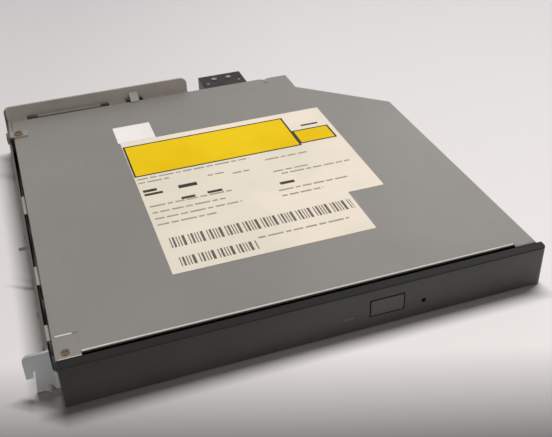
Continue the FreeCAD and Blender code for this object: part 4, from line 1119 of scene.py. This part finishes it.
@dataclass
class Studio:
    """The camera, the lamps, the floor and the surroundings.

    Attributes:
        eye: Where the camera stands.
        yaw: How far it is turned to the right, in degrees.
        pitch: How far it looks down.
        roll: How far it leans.
        lens: Focal length.
        sensor: Width of the sensor.
        sky: Level of the surroundings as light.
        gloss: Level of the surroundings in glossy surfaces.
        floor_half: Half the width of the floor.
        shade_tones: Places along the depth of the floor and its colours there, a painted shade that darkens the
            front and a little the far end.
    """

    eye: Point = (-58.617, -213.298, 146.765)
    yaw: float = 18.119
    pitch: float = 34.362
    roll: float = -1.924
    lens: float = 54.55
    sensor: float = 36.0
    sky: float = 0.08
    gloss: float = 0.45
    floor_half: float = 1500.0
    shade_tones: tuple[tuple[float, str], ...] = ((0.0, "#666362"), (0.11, "#ECE7E4"), (1.0, "#CCC9CA"))

    def camera(self) -> None:
        """Place the camera at the photograph's viewpoint."""
        yaw, pitch, roll = (math.radians(a) for a in (self.yaw, self.pitch, self.roll))
        ahead = Vector((math.sin(yaw) * math.cos(pitch), math.cos(yaw) * math.cos(pitch), -math.sin(pitch)))
        right = ahead.cross(Vector((0, 0, 1))).normalized()
        up = right.cross(ahead)
        right_rolled = right * math.cos(roll) + up * math.sin(roll)
        up_rolled = up * math.cos(roll) - right * math.sin(roll)
        data = bpy.data.cameras.new("camera")
        data.sensor_fit, data.sensor_width, data.lens = "HORIZONTAL", self.sensor, self.lens
        data.clip_start, data.clip_end = 0.005, 20.0
        thing = bpy.data.objects.new("camera", data)
        turn = Matrix((right_rolled, up_rolled, -ahead)).transposed().to_4x4()
        thing.matrix_world = Matrix.Translation(Vector(self.eye) * MM) @ turn
        bpy.context.scene.collection.objects.link(thing)
        bpy.context.scene.camera = thing

    def lamp(self, name: str, place: Point, width: float, depth: float, watts: float, glossy: bool) -> None:
        """Hang a soft lamp that faces the object.

        Args:
            name: The lamp's name.
            place: Where it hangs.
            width: Its size from left to right.
            depth: Its size from front to back.
            watts: Its power.
            glossy: Whether it shows in glossy surfaces.
        """
        data = bpy.data.lights.new(name, "AREA")
        data.shape, data.size, data.size_y = "RECTANGLE", width * MM, depth * MM
        data.energy = watts
        thing = bpy.data.objects.new(name, data)
        thing.visible_glossy = glossy
        thing.location = Vector(place) * MM
        thing.rotation_euler = (-Vector(place)).to_track_quat("-Z", "Y").to_euler()
        bpy.context.scene.collection.objects.link(thing)

    def floor(self) -> None:
        """Lay a pale desk top with painted shade: it darkens softly towards the front, a little towards the far
        end and a little towards the left.
        """
        mesh = bmesh.new()
        bmesh.ops.create_grid(mesh, x_segments=12, y_segments=12, size=self.floor_half * MM)
        data = bpy.data.meshes.new("desk_top")
        mesh.to_mesh(data)
        mesh.free()
        thing = bpy.data.objects.new("desk_top", data)
        thing.location.z = -0.02 * MM
        material = bpy.data.materials.new("laminate_desk_top")
        material.use_nodes = True
        tree = material.node_tree
        place = add_node(tree, "TexCoord").outputs["Object"]
        turned = add_node(tree, "Mapping", {"Rotation": (0, 0, math.radians(self.yaw))}, {"Vector": place})
        axes = add_node(tree, "SeparateXYZ", {}, {"Vector": turned.outputs["Vector"]})
        # painted shade along the depth: darkest at the front, a little darker at the far end
        depth = add_node(tree, "MapRange", {"From Min": -100 * MM, "From Max": 200 * MM},
                         {"Value": axes.outputs["Y"]})
        ramp = add_node(tree, "ValToRGB", {}, {"Fac": depth.outputs["Result"]})
        stops = ramp.color_ramp.elements
        stops.new(self.shade_tones[1][0])
        for stop, (position, tone) in zip(stops, self.shade_tones):
            stop.position, stop.color = position, linear(tone)
        # painted shade towards the left
        side = add_node(tree, "MapRange", {"From Min": -90 * MM, "From Max": 20 * MM, "To Min": 0.88},
                        {"Value": axes.outputs["X"]})
        shade = add_node(tree, "VectorMath", {"operation": "SCALE"},
                         {"Vector": ramp.outputs["Color"], "Scale": side.outputs["Result"]})
        shader = tree.nodes["Principled BSDF"]
        tree.links.new(shade.outputs["Vector"], shader.inputs["Base Color"])
        shader.inputs["Roughness"].default_value = 0.7
        data.materials.append(material)
        bpy.context.scene.collection.objects.link(thing)

    def surroundings(self) -> None:
        """Light the object evenly from all round, and show white to the camera and less to gloss."""
        world = bpy.data.worlds.new("soft_room")
        bpy.context.scene.world = world
        world.use_nodes = True
        tree = world.node_tree
        tree.nodes.clear()
        rays = add_node(tree, "LightPath")
        seen = add_node(tree, "Math", {"operation": "MAXIMUM"},
                        {0: rays.outputs["Is Camera Ray"], 1: rays.outputs["Is Transmission Ray"]})
        shining = add_node(tree, "MapRange", {"To Min": self.sky, "To Max": self.gloss},
                           {"Value": rays.outputs["Is Glossy Ray"]})
        level = add_node(tree, "MapRange", {"To Max": 1.0},
                         {"Value": seen.outputs[0], "To Min": shining.outputs["Result"]})
        light = add_node(tree, "Background", {"Color": linear("#FFFDFB")},
                         {"Strength": level.outputs["Result"]})
        add_node(tree, "OutputWorld", {}, {"Surface": light.outputs["Background"]})

    def build(self) -> None:
        """Set up the whole studio."""
        self.camera()
        self.lamp("key_lamp", (220, 290, 1000), 680, 45, 12.0, False)
        self.lamp("front_lamp", (-180, -900, 80), 600, 90, 2.2, False)
        self.lamp("rear_lamp", (750, 900, 480), 600, 400, 0.7, True)
        self.floor()
        self.surroundings()
        bpy.context.scene.view_settings.view_transform = "Standard"


def main() -> None:
    """Build the studio, then each sub-assembly in turn."""
    logging.basicConfig(level=logging.INFO, format="%(message)s")
    Studio().build()
    for assembly in (Case(), Bracket(), Labels(), Drawer(), RearBoard(), Deck()):
        assembly.build()
        assembly.dress()
        LOG.info("%s is dressed", type(assembly).__name__)
    Slides().dress()


if __name__ == "__main__":
    main()
